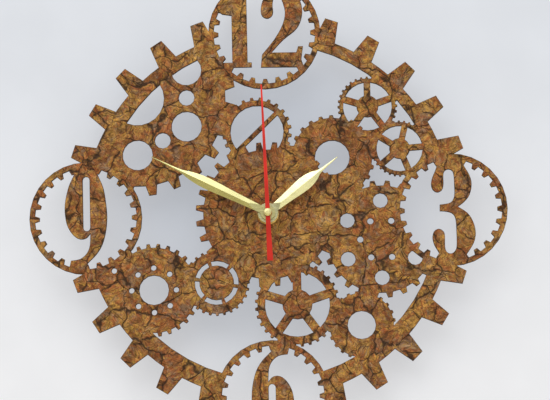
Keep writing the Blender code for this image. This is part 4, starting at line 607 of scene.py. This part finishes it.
def crackled_coat(dial):
    """The dial's rust and gold coat: broken dark cracks, curling wrinkles and patches of colour."""
    material, graph = new_material("crackled coat")
    flat = graph.place((1.0, 0.0, 1.0))
    bent = graph.warp(graph.warp(flat, *SLOW_BEND), *QUICK_BEND)
    tone = graph.noise(bent, dial.tone_cell, 6.0, 0.72)
    speck = graph.noise(bent, dial.speck_cell, 4.0, 0.65)
    curl = graph.maths("PINGPONG", graph.noise(bent, dial.curl_cell, 2.5, 0.6), CURL_FOLD)
    patch = graph.noise(bent, dial.patch_cell, 4.0, 0.62)
    stain = graph.noise(flat, dial.stain_cell, 4.0, 0.65)
    fleck_noise = graph.noise(bent, dial.fleck_cell, 4.0, 0.68, "Color")
    flecks = graph.add("ShaderNodeSeparateColor", {"Color": fleck_noise}).outputs
    crack, lines = dark_lines(graph, dial, flat, bent)

    coat = graph.mix(graph.remap(patch, 0.44, 0.56, 0.0, 1.0), dial.red_brown, dial.gold_brown)
    coat = graph.mix(graph.remap(stain, 0.52, 0.66, 0.0, 0.7), coat, dial.rust)
    coat = graph.mix(graph.remap(stain, 0.47, 0.36, 0.0, 0.6), coat, dial.bark_grey)
    coat = graph.mix(graph.remap(flecks["Red"], 0.48, 0.64, 0.0, 0.65), coat, dial.bark_grey)
    coat = graph.mix(graph.remap(flecks["Green"], 0.48, 0.62, 0.0, 0.8), coat, dial.rust)
    coat = graph.mix(graph.remap(flecks["Blue"], 0.50, 0.64, 0.0, 0.65), coat, dial.ochre)
    lights = graph.maths("MULTIPLY", graph.spread(tone, 0.60, 1.48), graph.spread(speck, 0.76, 1.24))
    lights = graph.maths("MULTIPLY", lights, graph.remap(curl, 0.0, CURL_LINE, 0.60, 1.07))
    coat = graph.mix(1.0, coat, lights, "MULTIPLY")
    coat = graph.mix(lines, coat, dial.dark_brown)
    coat = graph.mix(graph.maths("MULTIPLY", crack, CRACK_STRENGTH), coat, dial.crack_black)
    coat = charred(graph, dial, coat)

    sunk = graph.maths("ADD", crack, lines)
    raised = graph.maths("ADD", graph.maths("MULTIPLY", speck, SPECK_RISE),
                         graph.maths("MULTIPLY", curl, CURL_RISE))
    height = graph.maths("SUBTRACT", graph.maths("ADD", tone, raised), sunk)
    graph.surface(height, 0.7, dial.relief, Base_Color=coat, Specular_IOR_Level=0.25,
                  Roughness=graph.spread(tone, 0.8, 0.6))
    return material


def dark_lines(graph, dial, flat, bent):
    """Masks of the large broken cracks, and of the fine cracks and wrinkles together."""
    cracks = graph.crack_distance(bent, dial.crack_cell)
    fine_cracks = graph.crack_distance(bent, dial.crack_cell * FINE_CRACK_SHARE)
    breaks = graph.noise(bent, CRACK_BREAK, 2.0)
    fine_breaks = graph.noise(flat, FINE_CRACK_BREAK, 2.0)
    widest = dial.crack_width / dial.crack_cell
    crack = graph.remap(cracks, 0.0, graph.remap(breaks, 0.36, 0.58, 0.0, widest), 1.0, 0.0)
    fine = graph.remap(fine_cracks, 0.0, graph.remap(fine_breaks, 0.46, 0.64, 0.0, widest), 1.0, 0.0)
    fold_line = graph.maths("PINGPONG", graph.noise(bent, dial.wrinkle_cell, 1.5, 0.6), WRINKLE_FOLD)
    wrinkle = graph.maths("MULTIPLY", graph.remap(fold_line, 0.0, dial.wrinkle_share, 1.0, 0.0),
                          graph.remap(fine_breaks, 0.58, 0.40, 0.0, 1.0))
    lines = graph.maths("MAXIMUM", graph.maths("MULTIPLY", wrinkle, WRINKLE_STRENGTH),
                        graph.maths("MULTIPLY", fine, FINE_CRACK_STRENGTH))
    return crack, lines


def burnt_wall(dial):
    """The laser-burnt wall of a cut, streaked from front to back."""
    material, graph = new_material("burnt wall")
    streaks = graph.noise(graph.place((1.0, 0.15, 1.0)), STREAK_SIZE)
    tint = graph.mix(graph.spread(streaks, 0.0, 1.0), shade_of(dial.char_brown, 0.55), dial.char_brown)
    graph.surface(streaks, 0.3, STREAK_RELIEF, Base_Color=tint,
                  Roughness=graph.spread(streaks, 0.65, 0.85))
    return material


def fibre_board(dial):
    """The bare back of the sheet: pressed wood fibre."""
    material, graph = new_material("fibre board")
    bent = graph.warp(graph.place((1.0, 0.0, 1.0)), *FIBRE_BEND)
    fibres = graph.noise(bent, FIBRE_SIZE, 4.0, 0.7)
    clouds = graph.noise(graph.place(), FIBRE_CLOUD_SIZE)
    tint = graph.mix(graph.remap(fibres, 0.32, 0.68, 0.0, 1.0), shade_of(dial.bare_board, 0.72),
                     shade_of(dial.bare_board, 1.12))
    tint = graph.mix(1.0, tint, graph.spread(clouds, 0.9, 1.06), "MULTIPLY")
    graph.surface(fibres, 0.3, FIBRE_RELIEF, Base_Color=charred(graph, dial, tint),
                  Roughness=graph.spread(fibres, 0.7, 0.9))
    return material


class CLOCK_OT_dial_sheet(bpy.types.Operator):
    """Bevels the laser-cut sheet, burns its edges and gives it its crackled coat"""
    bl_idname = "clock.dial_sheet"
    bl_label = "Dial sheet"

    def execute(self, context):
        dial = context.scene.clock_dial
        sheet = copy_of("dial_panel", "dial_sheet")
        mesh = sheet.data
        select_only(sheet, "FACE", [face.index for face in mesh.polygons if abs(face.normal.y) > ALONG])
        for width in (dial.chamfer, dial.char_fade):
            bpy.ops.mesh.inset(thickness=width, use_even_offset=False)
        bpy.ops.object.mode_set(mode="OBJECT")
        rims = {v for face in mesh.polygons if abs(face.normal.y) < ACROSS for v in face.vertices}
        self.bevel(sheet, rims, dial.chamfer_depth)
        self.burn(mesh, rims)
        dress(sheet, (crackled_coat(dial), burnt_wall(dial), fibre_board(dial)), "dial_panel")
        return {"FINISHED"}

    def bevel(self, sheet, rims, depth):
        """Moves the rims of the cuts, front and back, towards each other, which slopes the strips there."""
        middle = middle_of("dial_panel").y
        front = [i for i in rims if sheet.data.vertices[i].co.y < middle]
        back = [i for i in rims if sheet.data.vertices[i].co.y > middle]
        for rim, step in ((front, depth), (back, -depth)):
            select_only(sheet, "VERT", rim)
            bpy.ops.transform.translate(value=(0.0, step, 0.0))
            bpy.ops.object.mode_set(mode="OBJECT")

    def burn(self, mesh, rims):
        """Stores how burnt each vertex is and sorts the faces into front, walls and back."""
        beside = set(rims)
        for edge in mesh.edges:
            if any(v in rims for v in edge.vertices):
                beside.update(edge.vertices)
        values = [1.0 if i in beside else 0.0 for i in range(len(mesh.vertices))]
        mesh.attributes.new(CHAR, "FLOAT", "POINT").data.foreach_set("value", values)
        for face in mesh.polygons:
            if any(v in rims for v in face.vertices):
                face.material_index = 1
            else:
                face.material_index = 0 if face.normal.y < 0.0 else 2


def faceted_gold(name, tint):
    """Pale gold anodised metal, polished, with faint brushing and a few fine flecks."""
    material, graph = new_material(name)
    brushing = brushed(graph, HAND_BRUSH_SCALE)
    flecks = graph.noise(graph.place(), FLECK_SIZE, 2.0)
    worn = graph.maths("MULTIPLY", graph.remap(flecks, 0.66, 0.74, 0.0, 1.0), 0.35)
    drift = graph.spread(brushing["Drift"], 0.0, 1.0)
    tint = graph.mix(drift, shade_of(tint, 0.92), shade_of(tint, 1.06))
    graph.surface(brushing["Lines"], 0.08, BRUSH_RELIEF, Metallic=1.0,
                  Base_Color=graph.mix(worn, tint, FLECK_METAL),
                  Roughness=graph.spread(brushing["Lines"], 0.18, 0.30))
    return material


class CLOCK_OT_faceted_hands(bpy.types.Operator):
    """Softens the facets of the hour and minute hands and polishes them"""
    bl_idname = "clock.faceted_hands"
    bl_label = "Hour and minute hands"

    def execute(self, context):
        hands = context.scene.clock_hands
        for node, tint in (("hour_hand", hands.hour_gold), ("minute_hand", hands.minute_gold)):
            piece = copy_of(node, node + "_polished")
            soften(piece, hands.facet_edge)
            gold = faceted_gold(node.replace("_", " ") + " gold", tint)
            dress(piece, (gold,), node, FACET_ANGLE)
        return {"FINISHED"}


class CLOCK_OT_second_hand(bpy.types.Operator):
    """Paints the second hand and rounds its domed collet"""
    bl_idname = "clock.second_hand"
    bl_label = "Second hand"

    def execute(self, context):
        hands = context.scene.clock_hands
        strip = copy_of("second_hand", "second_hand_painted")
        soften(strip, hands.second_edge)
        red = moulded("signal red paint", hands.signal_red, roughness=0.5, scale=1500.0, bump=0.1, shine=0.2)
        dress(strip, (red,), "second_hand")
        dome = copy_of("second_hand_collet", "collet_dome", clean=False)
        pick(dome)
        bpy.ops.object.modifier_add(type="SUBSURF")
        rounding = dome.modifiers[-1]
        rounding.levels = rounding.render_levels = DOME_LEVELS
        bpy.ops.object.modifier_apply(modifier=rounding.name)
        dress(dome, (metal("dome gold", hands.dome_gold, roughness=0.42),), "second_hand_collet")
        return {"FINISHED"}


class CLOCK_OT_centre_fixing(bpy.types.Operator):
    """Rounds the edges of the nut and the washers and threads the bushing"""
    bl_idname = "clock.centre_fixing"
    bl_label = "Nut, washers and bushing"

    def execute(self, context):
        movement = context.scene.clock_movement
        brass = metal("turned brass", movement.brass, roughness=0.28)
        rubber = moulded("black rubber", movement.rubber, roughness=0.75, scale=1600.0, bump=0.35)
        for node, edge, material in (("hex_nut", 2.0, brass), ("brass_washer", 1.0, brass),
                                     ("rubber_washer", 2.0, rubber)):
            piece = copy_of(node, node + "_finished")
            soften(piece, movement.metal_edge * edge)
            dress(piece, (material,), node)
        self.cut_threads(movement, brass)
        return {"FINISHED"}

    def cut_threads(self, movement, brass):
        """Turns the bushing with its flange and threads."""
        sizes = ring_sizes("threaded_bushing", FRONT, ORIGIN)
        bore, flange = min(r for r, d in sizes), max(r for r, d in sizes)
        rear, end = min(d for r, d in sizes), max(d for r, d in sizes)
        flange_end = max(d for r, d in sizes if r > flange - movement.metal_edge)
        thread = max(r for r, d in sizes if d > end - movement.metal_edge)
        lead = movement.thread_pitch / 2
        stations = [(bore, rear), (flange, rear), (flange, flange_end), (thread, flange_end)]
        stations += ridges(thread, movement.thread_depth, flange_end + lead, end - lead,
                           movement.thread_pitch)
        stations += [(thread - movement.thread_depth, end), (bore, end)]
        bushing = turned("bushing_threaded", stations, BUSHING_SIDES, ORIGIN, FRONT)
        join_bore(bushing, BUSHING_SIDES)
        dress(bushing, (brass,), "threaded_bushing")


class CLOCK_OT_case(bpy.types.Operator):
    """Rounds the moulded edges of the case, its cover and the knob, and sinks the cover's panel"""
    bl_idname = "clock.case"
    bl_label = "Case, cover and knob"

    def execute(self, context):
        movement = context.scene.clock_movement
        black = moulded("black moulding", movement.black_plastic, roughness=0.5, scale=2600.0, bump=0.4)
        for node, edge in (("front_case", 1.0), ("rear_cover", 1.0), ("set_knob", 0.5)):
            piece = copy_of(node, node + "_moulded")
            if node == "rear_cover":
                self.sink_panel(piece, movement)
            soften(piece, movement.moulding_edge * edge)
            dress(piece, (black,), node)
        return {"FINISHED"}

    def sink_panel(self, cover, movement):
        """Sinks a shallow panel into the cover's rear face, inside a frame along its edges."""
        rear = max(v.co.y for v in cover.data.vertices)
        flat = [face.index for face in cover.data.polygons
                if face.normal.y > ALONG and face.center.y > rear - movement.metal_edge]
        select_only(cover, "FACE", flat)
        bpy.ops.mesh.inset(thickness=movement.panel_margin, use_even_offset=False)
        bpy.ops.mesh.inset(thickness=movement.panel_depth / 2, depth=-movement.panel_depth,
                           use_even_offset=False)
        bpy.ops.object.mode_set(mode="OBJECT")


class CLOCK_OT_power(bpy.types.Operator):
    """Finishes the plain cell and its two contact strips"""
    bl_idname = "clock.power"
    bl_label = "Cell and contacts"

    def execute(self, context):
        movement = context.scene.clock_movement
        sleeve = moulded("cell sleeve", movement.cell_sleeve, roughness=0.35, scale=900.0, bump=0.08)
        plated = metal("plated spring strip", movement.steel, roughness=0.25)
        cell = copy_of("battery", "cell")
        soften(cell, movement.metal_edge * 2.0)
        sleeve_end = self.sleeve_end(cell.data)
        for face in cell.data.polygons:
            face.material_index = int(abs(face.normal.x) > ACROSS or face.center.x > sleeve_end)
        dress(cell, (sleeve, plated), "battery")
        for node in ("positive_contact", "negative_contact"):
            strip = copy_of(node, node + "_plated")
            soften(strip, movement.metal_edge)
            dress(strip, (plated,), node)
        return {"FINISHED"}

    def sleeve_end(self, mesh):
        """A little past the place where the cell's nub begins."""
        shoulder, margin = 0.001, 0.0002
        widest = max(v.co.z for v in mesh.vertices)
        return max(v.co.x for v in mesh.vertices if v.co.z > widest - shoulder) + margin


class CLOCK_OT_train(bpy.types.Operator):
    """Finishes the wheels and the plate that carries them"""
    bl_idname = "clock.train"
    bl_label = "Wheels and plate"

    def execute(self, context):
        movement = context.scene.clock_movement
        white = moulded("white moulding", movement.white_plastic, roughness=0.42, scale=2600.0, bump=0.2)
        paint(white, "middle_plate", "hour_wheel", "second_wheel", "third_wheel", "fifth_wheel",
              "minute_wheel", "rotor_pinion")
        paint(metal("wheel brass", movement.brass, roughness=0.3), "centre_wheel")
        return {"FINISHED"}


class CLOCK_OT_motor(bpy.types.Operator):
    """Winds the coil and finishes the stepping motor"""
    bl_idname = "clock.motor"
    bl_label = "Stepping motor"

    def execute(self, context):
        movement = context.scene.clock_movement
        paint(metal("stamped sheet", movement.steel, roughness=0.38), "stator", "coil_core")
        paint(metal("sintered magnet", shade_of(movement.steel, 0.35), roughness=0.5), "rotor_magnet")
        paint(moulded("bobbin moulding", movement.white_plastic, roughness=0.45), "coil_bobbin")
        self.wind_coil(movement)
        return {"FINISHED"}

    def wind_coil(self, movement):
        """Turns the winding with one ridge for each visible turn of wire."""
        middle = middle_of("coil_winding")
        at = (middle.x, middle.y, 0.0)
        sizes = ring_sizes("coil_winding", UP, at)
        bore, outer = min(r for r, h in sizes), max(r for r, h in sizes)
        low, high = min(h for r, h in sizes), max(h for r, h in sizes)
        lead, groove = movement.wire * 0.5, movement.wire * 0.3
        stations = [(bore, low), (outer - lead, low)]
        stations += ridges(outer, groove, low + lead, high - lead, movement.wire)
        stations += [(outer - lead, high), (bore, high)]
        winding = turned("coil_wound", stations, COIL_SIDES, at, UP)
        join_bore(winding, COIL_SIDES)
        dress(winding, (metal("varnished wire", movement.copper, roughness=0.3),), "coil_winding")


def board_lacquer(movement):
    """Green lacquer over copper traces that run in bands."""
    material, graph = new_material("board lacquer")
    grain = grained(graph, BOARD_GRAIN_SCALE)["Grain"]
    bent = graph.warp(graph.place(), *TRACE_BEND)
    bands = graph.add("ShaderNodeTexWave", {"Vector": bent, "Scale": TRACE_SCALE}, wave_type="BANDS",
                      bands_direction="Z").outputs["Fac"]
    trace = graph.remap(bands, 0.62, 0.70, 0.0, 1.0)
    tint = graph.mix(trace, shade_of(movement.board_green, 0.8), shade_of(movement.board_green, 1.7))
    graph.surface(trace, 0.3, BRUSH_RELIEF, Base_Color=tint, Roughness=graph.spread(grain, 0.24, 0.36))
    return material


class CLOCK_OT_electronics(bpy.types.Operator):
    """Finishes the circuit board, its chip and the quartz crystal"""
    bl_idname = "clock.electronics"
    bl_label = "Circuit board"

    def execute(self, context):
        movement = context.scene.clock_movement
        paint(board_lacquer(movement), "circuit_board")
        dark = shade_of(movement.rubber, 0.9)
        paint(moulded("chip potting", dark, roughness=0.25, scale=900.0, bump=0.15), "timing_chip")
        paint(metal("crystal can", shade_of(movement.steel, 1.15), roughness=0.18), "quartz_crystal")
        return {"FINISHED"}


def fill_clouds(graph, given):
    """Faint clouds, as shares of the paint's own colour."""
    noise = {"Vector": graph.place(), "Scale": given["Scale"], "Detail": 3.0}
    return (graph.spread(graph.add("ShaderNodeTexNoise", noise).outputs["Fac"], 0.97, 1.01),)


def clouded(graph, shade):
    """A colour with faint clouds over it."""
    clouds = effect(graph, "faint clouds", {"Scale": CLOUD_SCALE}, ("Clouds",), fill_clouds)["Clouds"]
    return graph.mix(1.0, shade, clouds, "MULTIPLY")


def show_front(graph, rays, shade, glow):
    """Matt paint that is seen only from its front side, so that other views look past it."""
    matt = graph.add("ShaderNodeBsdfDiffuse", {"Color": shade}).outputs[0]
    even = graph.add("ShaderNodeEmission", {"Color": shade, "Strength": 1.0}).outputs[0]
    painted = graph.add("ShaderNodeMixShader", {0: glow, 1: matt, 2: even}).outputs[0]
    clear = graph.add("ShaderNodeBsdfTransparent").outputs[0]
    looked_at = graph.maths("MAXIMUM", rays["Is Camera Ray"], rays["Is Glossy Ray"])
    behind = graph.add("ShaderNodeNewGeometry").outputs["Backfacing"]
    front = graph.maths("MULTIPLY", looked_at, graph.maths("SUBTRACT", 1.0, behind))
    shown = graph.add("ShaderNodeMixShader", {0: front, 1: clear, 2: painted}).outputs[0]
    graph.add("ShaderNodeOutputMaterial", {"Surface": shown})


def wall_paint(stage):
    """Pale paint, lighter below, with painted shade: a darker patch behind the clock where its shadow falls.
    """
    material, graph = new_material("wall paint")
    place = graph.place()
    rise = graph.add("ShaderNodeSeparateXYZ", {0: place}).outputs["Z"]
    away = graph.vectors("LENGTH", {0: place}, "Value")
    upper = graph.remap(rise, -stage.wall_fade, stage.wall_fade, 0.0, 1.0)
    # Painted shade: a round patch behind the clock is darkened where the clock's shadow falls
    painted_shade = graph.remap(away, stage.painted_shade_inner, stage.painted_shade_outer, 1.0, 0.0)
    shade = clouded(graph, graph.mix(upper, stage.wall_low, stage.wall_high))
    shade = graph.mix(painted_shade, shade, stage.painted_wall_shade, "MULTIPLY")
    show_front(graph, graph.add("ShaderNodeLightPath").outputs, shade, stage.wall_glow)
    return material


def floor_paint(stage):
    """Plain pale paint; the warmer tint that only glossy rays see is a painted reflection in polished metal.
    """
    material, graph = new_material("floor paint")
    rays = graph.add("ShaderNodeLightPath").outputs
    # Painted reflection: glossy rays see a warmer floor than the camera does
    shade = graph.mix(rays["Is Glossy Ray"], clouded(graph, stage.floor_grey), stage.painted_floor_reflection)
    show_front(graph, rays, shade, 0.0)
    return material


def soft_lamp(name, watts, width, height, place):
    """A rectangular lamp that points at the dial."""
    bpy.ops.object.light_add(type="AREA", location=place)
    lamp = bpy.context.object
    lamp.name = lamp.data.name = name
    lamp.data.energy = watts
    lamp.data.shape = "RECTANGLE"
    lamp.data.size = width
    lamp.data.size_y = height
    lamp.rotation_euler = (Vector(LAMP_TARGET) - Vector(place)).to_track_quat("-Z", "Y").to_euler()
    return lamp


class CLOCK_OT_stage(bpy.types.Operator):
    """Puts up the pale wall and floor, the lamps, the sky and the camera"""
    bl_idname = "clock.stage"
    bl_label = "Stage"

    def execute(self, context):
        stage = context.scene.clock_stage
        self.put_up_wall(stage)
        self.put_up_lamps(stage)
        self.light_sky(context, stage)
        self.aim_camera(context, stage)
        context.scene.view_settings.view_transform = "Standard"
        return {"FINISHED"}

    def put_up_wall(self, stage):
        """A wall just behind the clock and a floor below it."""
        middle = stage.wall_size / 2 - stage.floor_drop
        upright, level = (math.pi / 2, 0.0, 0.0), (0.0, 0.0, 0.0)
        sides = (("wall", (0.0, stage.wall_gap, middle), upright, wall_paint(stage)),
                 ("floor", (0.0, 0.0, -stage.floor_drop), level, floor_paint(stage)))
        for name, place, turn, material in sides:
            bpy.ops.mesh.primitive_plane_add(size=stage.wall_size, location=place, rotation=turn)
            panel = bpy.context.object
            panel.name = panel.data.name = name
            settle()
            panel.data.materials.append(material)

    def put_up_lamps(self, stage):
        """A large lamp at the upper left, a strip above, a weak lamp at the right and one behind."""
        soft_lamp("key lamp", stage.key_power, *KEY_LAMP)
        strip = soft_lamp("strip lamp", stage.strip_power, *STRIP_LAMP)
        strip.data.color = stage.strip_tint
        soft_lamp("fill lamp", stage.fill_power, *FILL_LAMP)
        soft_lamp("rear lamp", stage.rear_power, *REAR_LAMP)

    def light_sky(self, context, stage):
        """Light from all round that grows with height, and a plain pale background for the lens."""
        world = context.scene.world or bpy.data.worlds.new("studio")
        context.scene.world = world
        world.use_nodes = True
        graph = Graph(world.node_tree)
        ray = graph.add("ShaderNodeTexCoord").outputs["Generated"]
        height = graph.add("ShaderNodeSeparateXYZ", {0: ray}).outputs["Z"]
        light = graph.remap(height, SKY_START, SKY_END, SKY_DARK, SKY_BRIGHT)
        even = graph.add("ShaderNodeBackground", {"Color": light, "Strength": stage.sky}).outputs[0]
        plain = graph.add("ShaderNodeBackground", {"Color": stage.wall_high, "Strength": 1.0}).outputs[0]
        camera_ray = graph.add("ShaderNodeLightPath").outputs["Is Camera Ray"]
        both = graph.add("ShaderNodeMixShader", {0: camera_ray, 1: even, 2: plain}).outputs[0]
        graph.add("ShaderNodeOutputWorld", {"Surface": both})

    def aim_camera(self, context, stage):
        """A long lens a little below the clock, as the photograph has it."""
        middle = middle_of("dial_panel")
        aim = Vector((stage.aim_right, middle.y, stage.aim_up))
        azimuth, elevation = stage.camera_azimuth, stage.camera_elevation
        back = Vector((math.sin(azimuth) * math.cos(elevation), -math.cos(azimuth) * math.cos(elevation),
                       math.sin(elevation)))
        bpy.ops.object.camera_add(location=aim + back * stage.camera_distance)
        camera = bpy.context.object
        turn = (-back).to_track_quat("-Z", "Y")
        camera.rotation_euler = (turn @ Euler((0.0, 0.0, -stage.camera_roll)).to_quaternion()).to_euler()
        camera.data.lens = camera.data.sensor_width * stage.camera_distance / (stage.pixel * IMAGE_WIDTH)
        context.scene.camera = camera


class CLOCK_PT_wall_clock(bpy.types.Panel):
    """Lists the clock's pieces in the 3D view's sidebar"""
    bl_idname = "CLOCK_PT_wall_clock"
    bl_label = "Wall Clock"
    bl_space_type = "VIEW_3D"
    bl_region_type = "UI"
    bl_category = "Wall Clock"

    def draw(self, context):
        for operator in OPERATORS:
            self.layout.operator(operator.bl_idname)
        for name in SETTINGS:
            box = self.layout.box()
            group = getattr(context.scene, name)
            for key in group.__annotations__:
                box.prop(group, key)


SETTINGS = {"clock_dial": DialSettings, "clock_hands": HandSettings, "clock_movement": MovementSettings,
            "clock_stage": StageSettings}
OPERATORS = (CLOCK_OT_dial_sheet, CLOCK_OT_faceted_hands, CLOCK_OT_second_hand, CLOCK_OT_centre_fixing,
             CLOCK_OT_case, CLOCK_OT_power, CLOCK_OT_train, CLOCK_OT_motor, CLOCK_OT_electronics,
             CLOCK_OT_stage)


def register():
    """Makes the settings, the operators and the panel known to Blender."""
    for name, group in SETTINGS.items():
        bpy.utils.register_class(group)
        setattr(bpy.types.Scene, name, PointerProperty(type=group))
    for item in (*OPERATORS, CLOCK_PT_wall_clock):
        bpy.utils.register_class(item)


def unregister():
    """Takes them away again."""
    for item in reversed((*OPERATORS, CLOCK_PT_wall_clock)):
        bpy.utils.unregister_class(item)
    for name, group in reversed(SETTINGS.items()):
        delattr(bpy.types.Scene, name)
        bpy.utils.unregister_class(group)


def main():
    """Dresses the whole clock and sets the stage."""
    register()
    bpy.ops.clock.dial_sheet()
    bpy.ops.clock.faceted_hands()
    bpy.ops.clock.second_hand()
    bpy.ops.clock.centre_fixing()
    bpy.ops.clock.case()
    bpy.ops.clock.power()
    bpy.ops.clock.train()
    bpy.ops.clock.motor()
    bpy.ops.clock.electronics()
    bpy.ops.clock.stage()


if __name__ == "__main__":
    main()
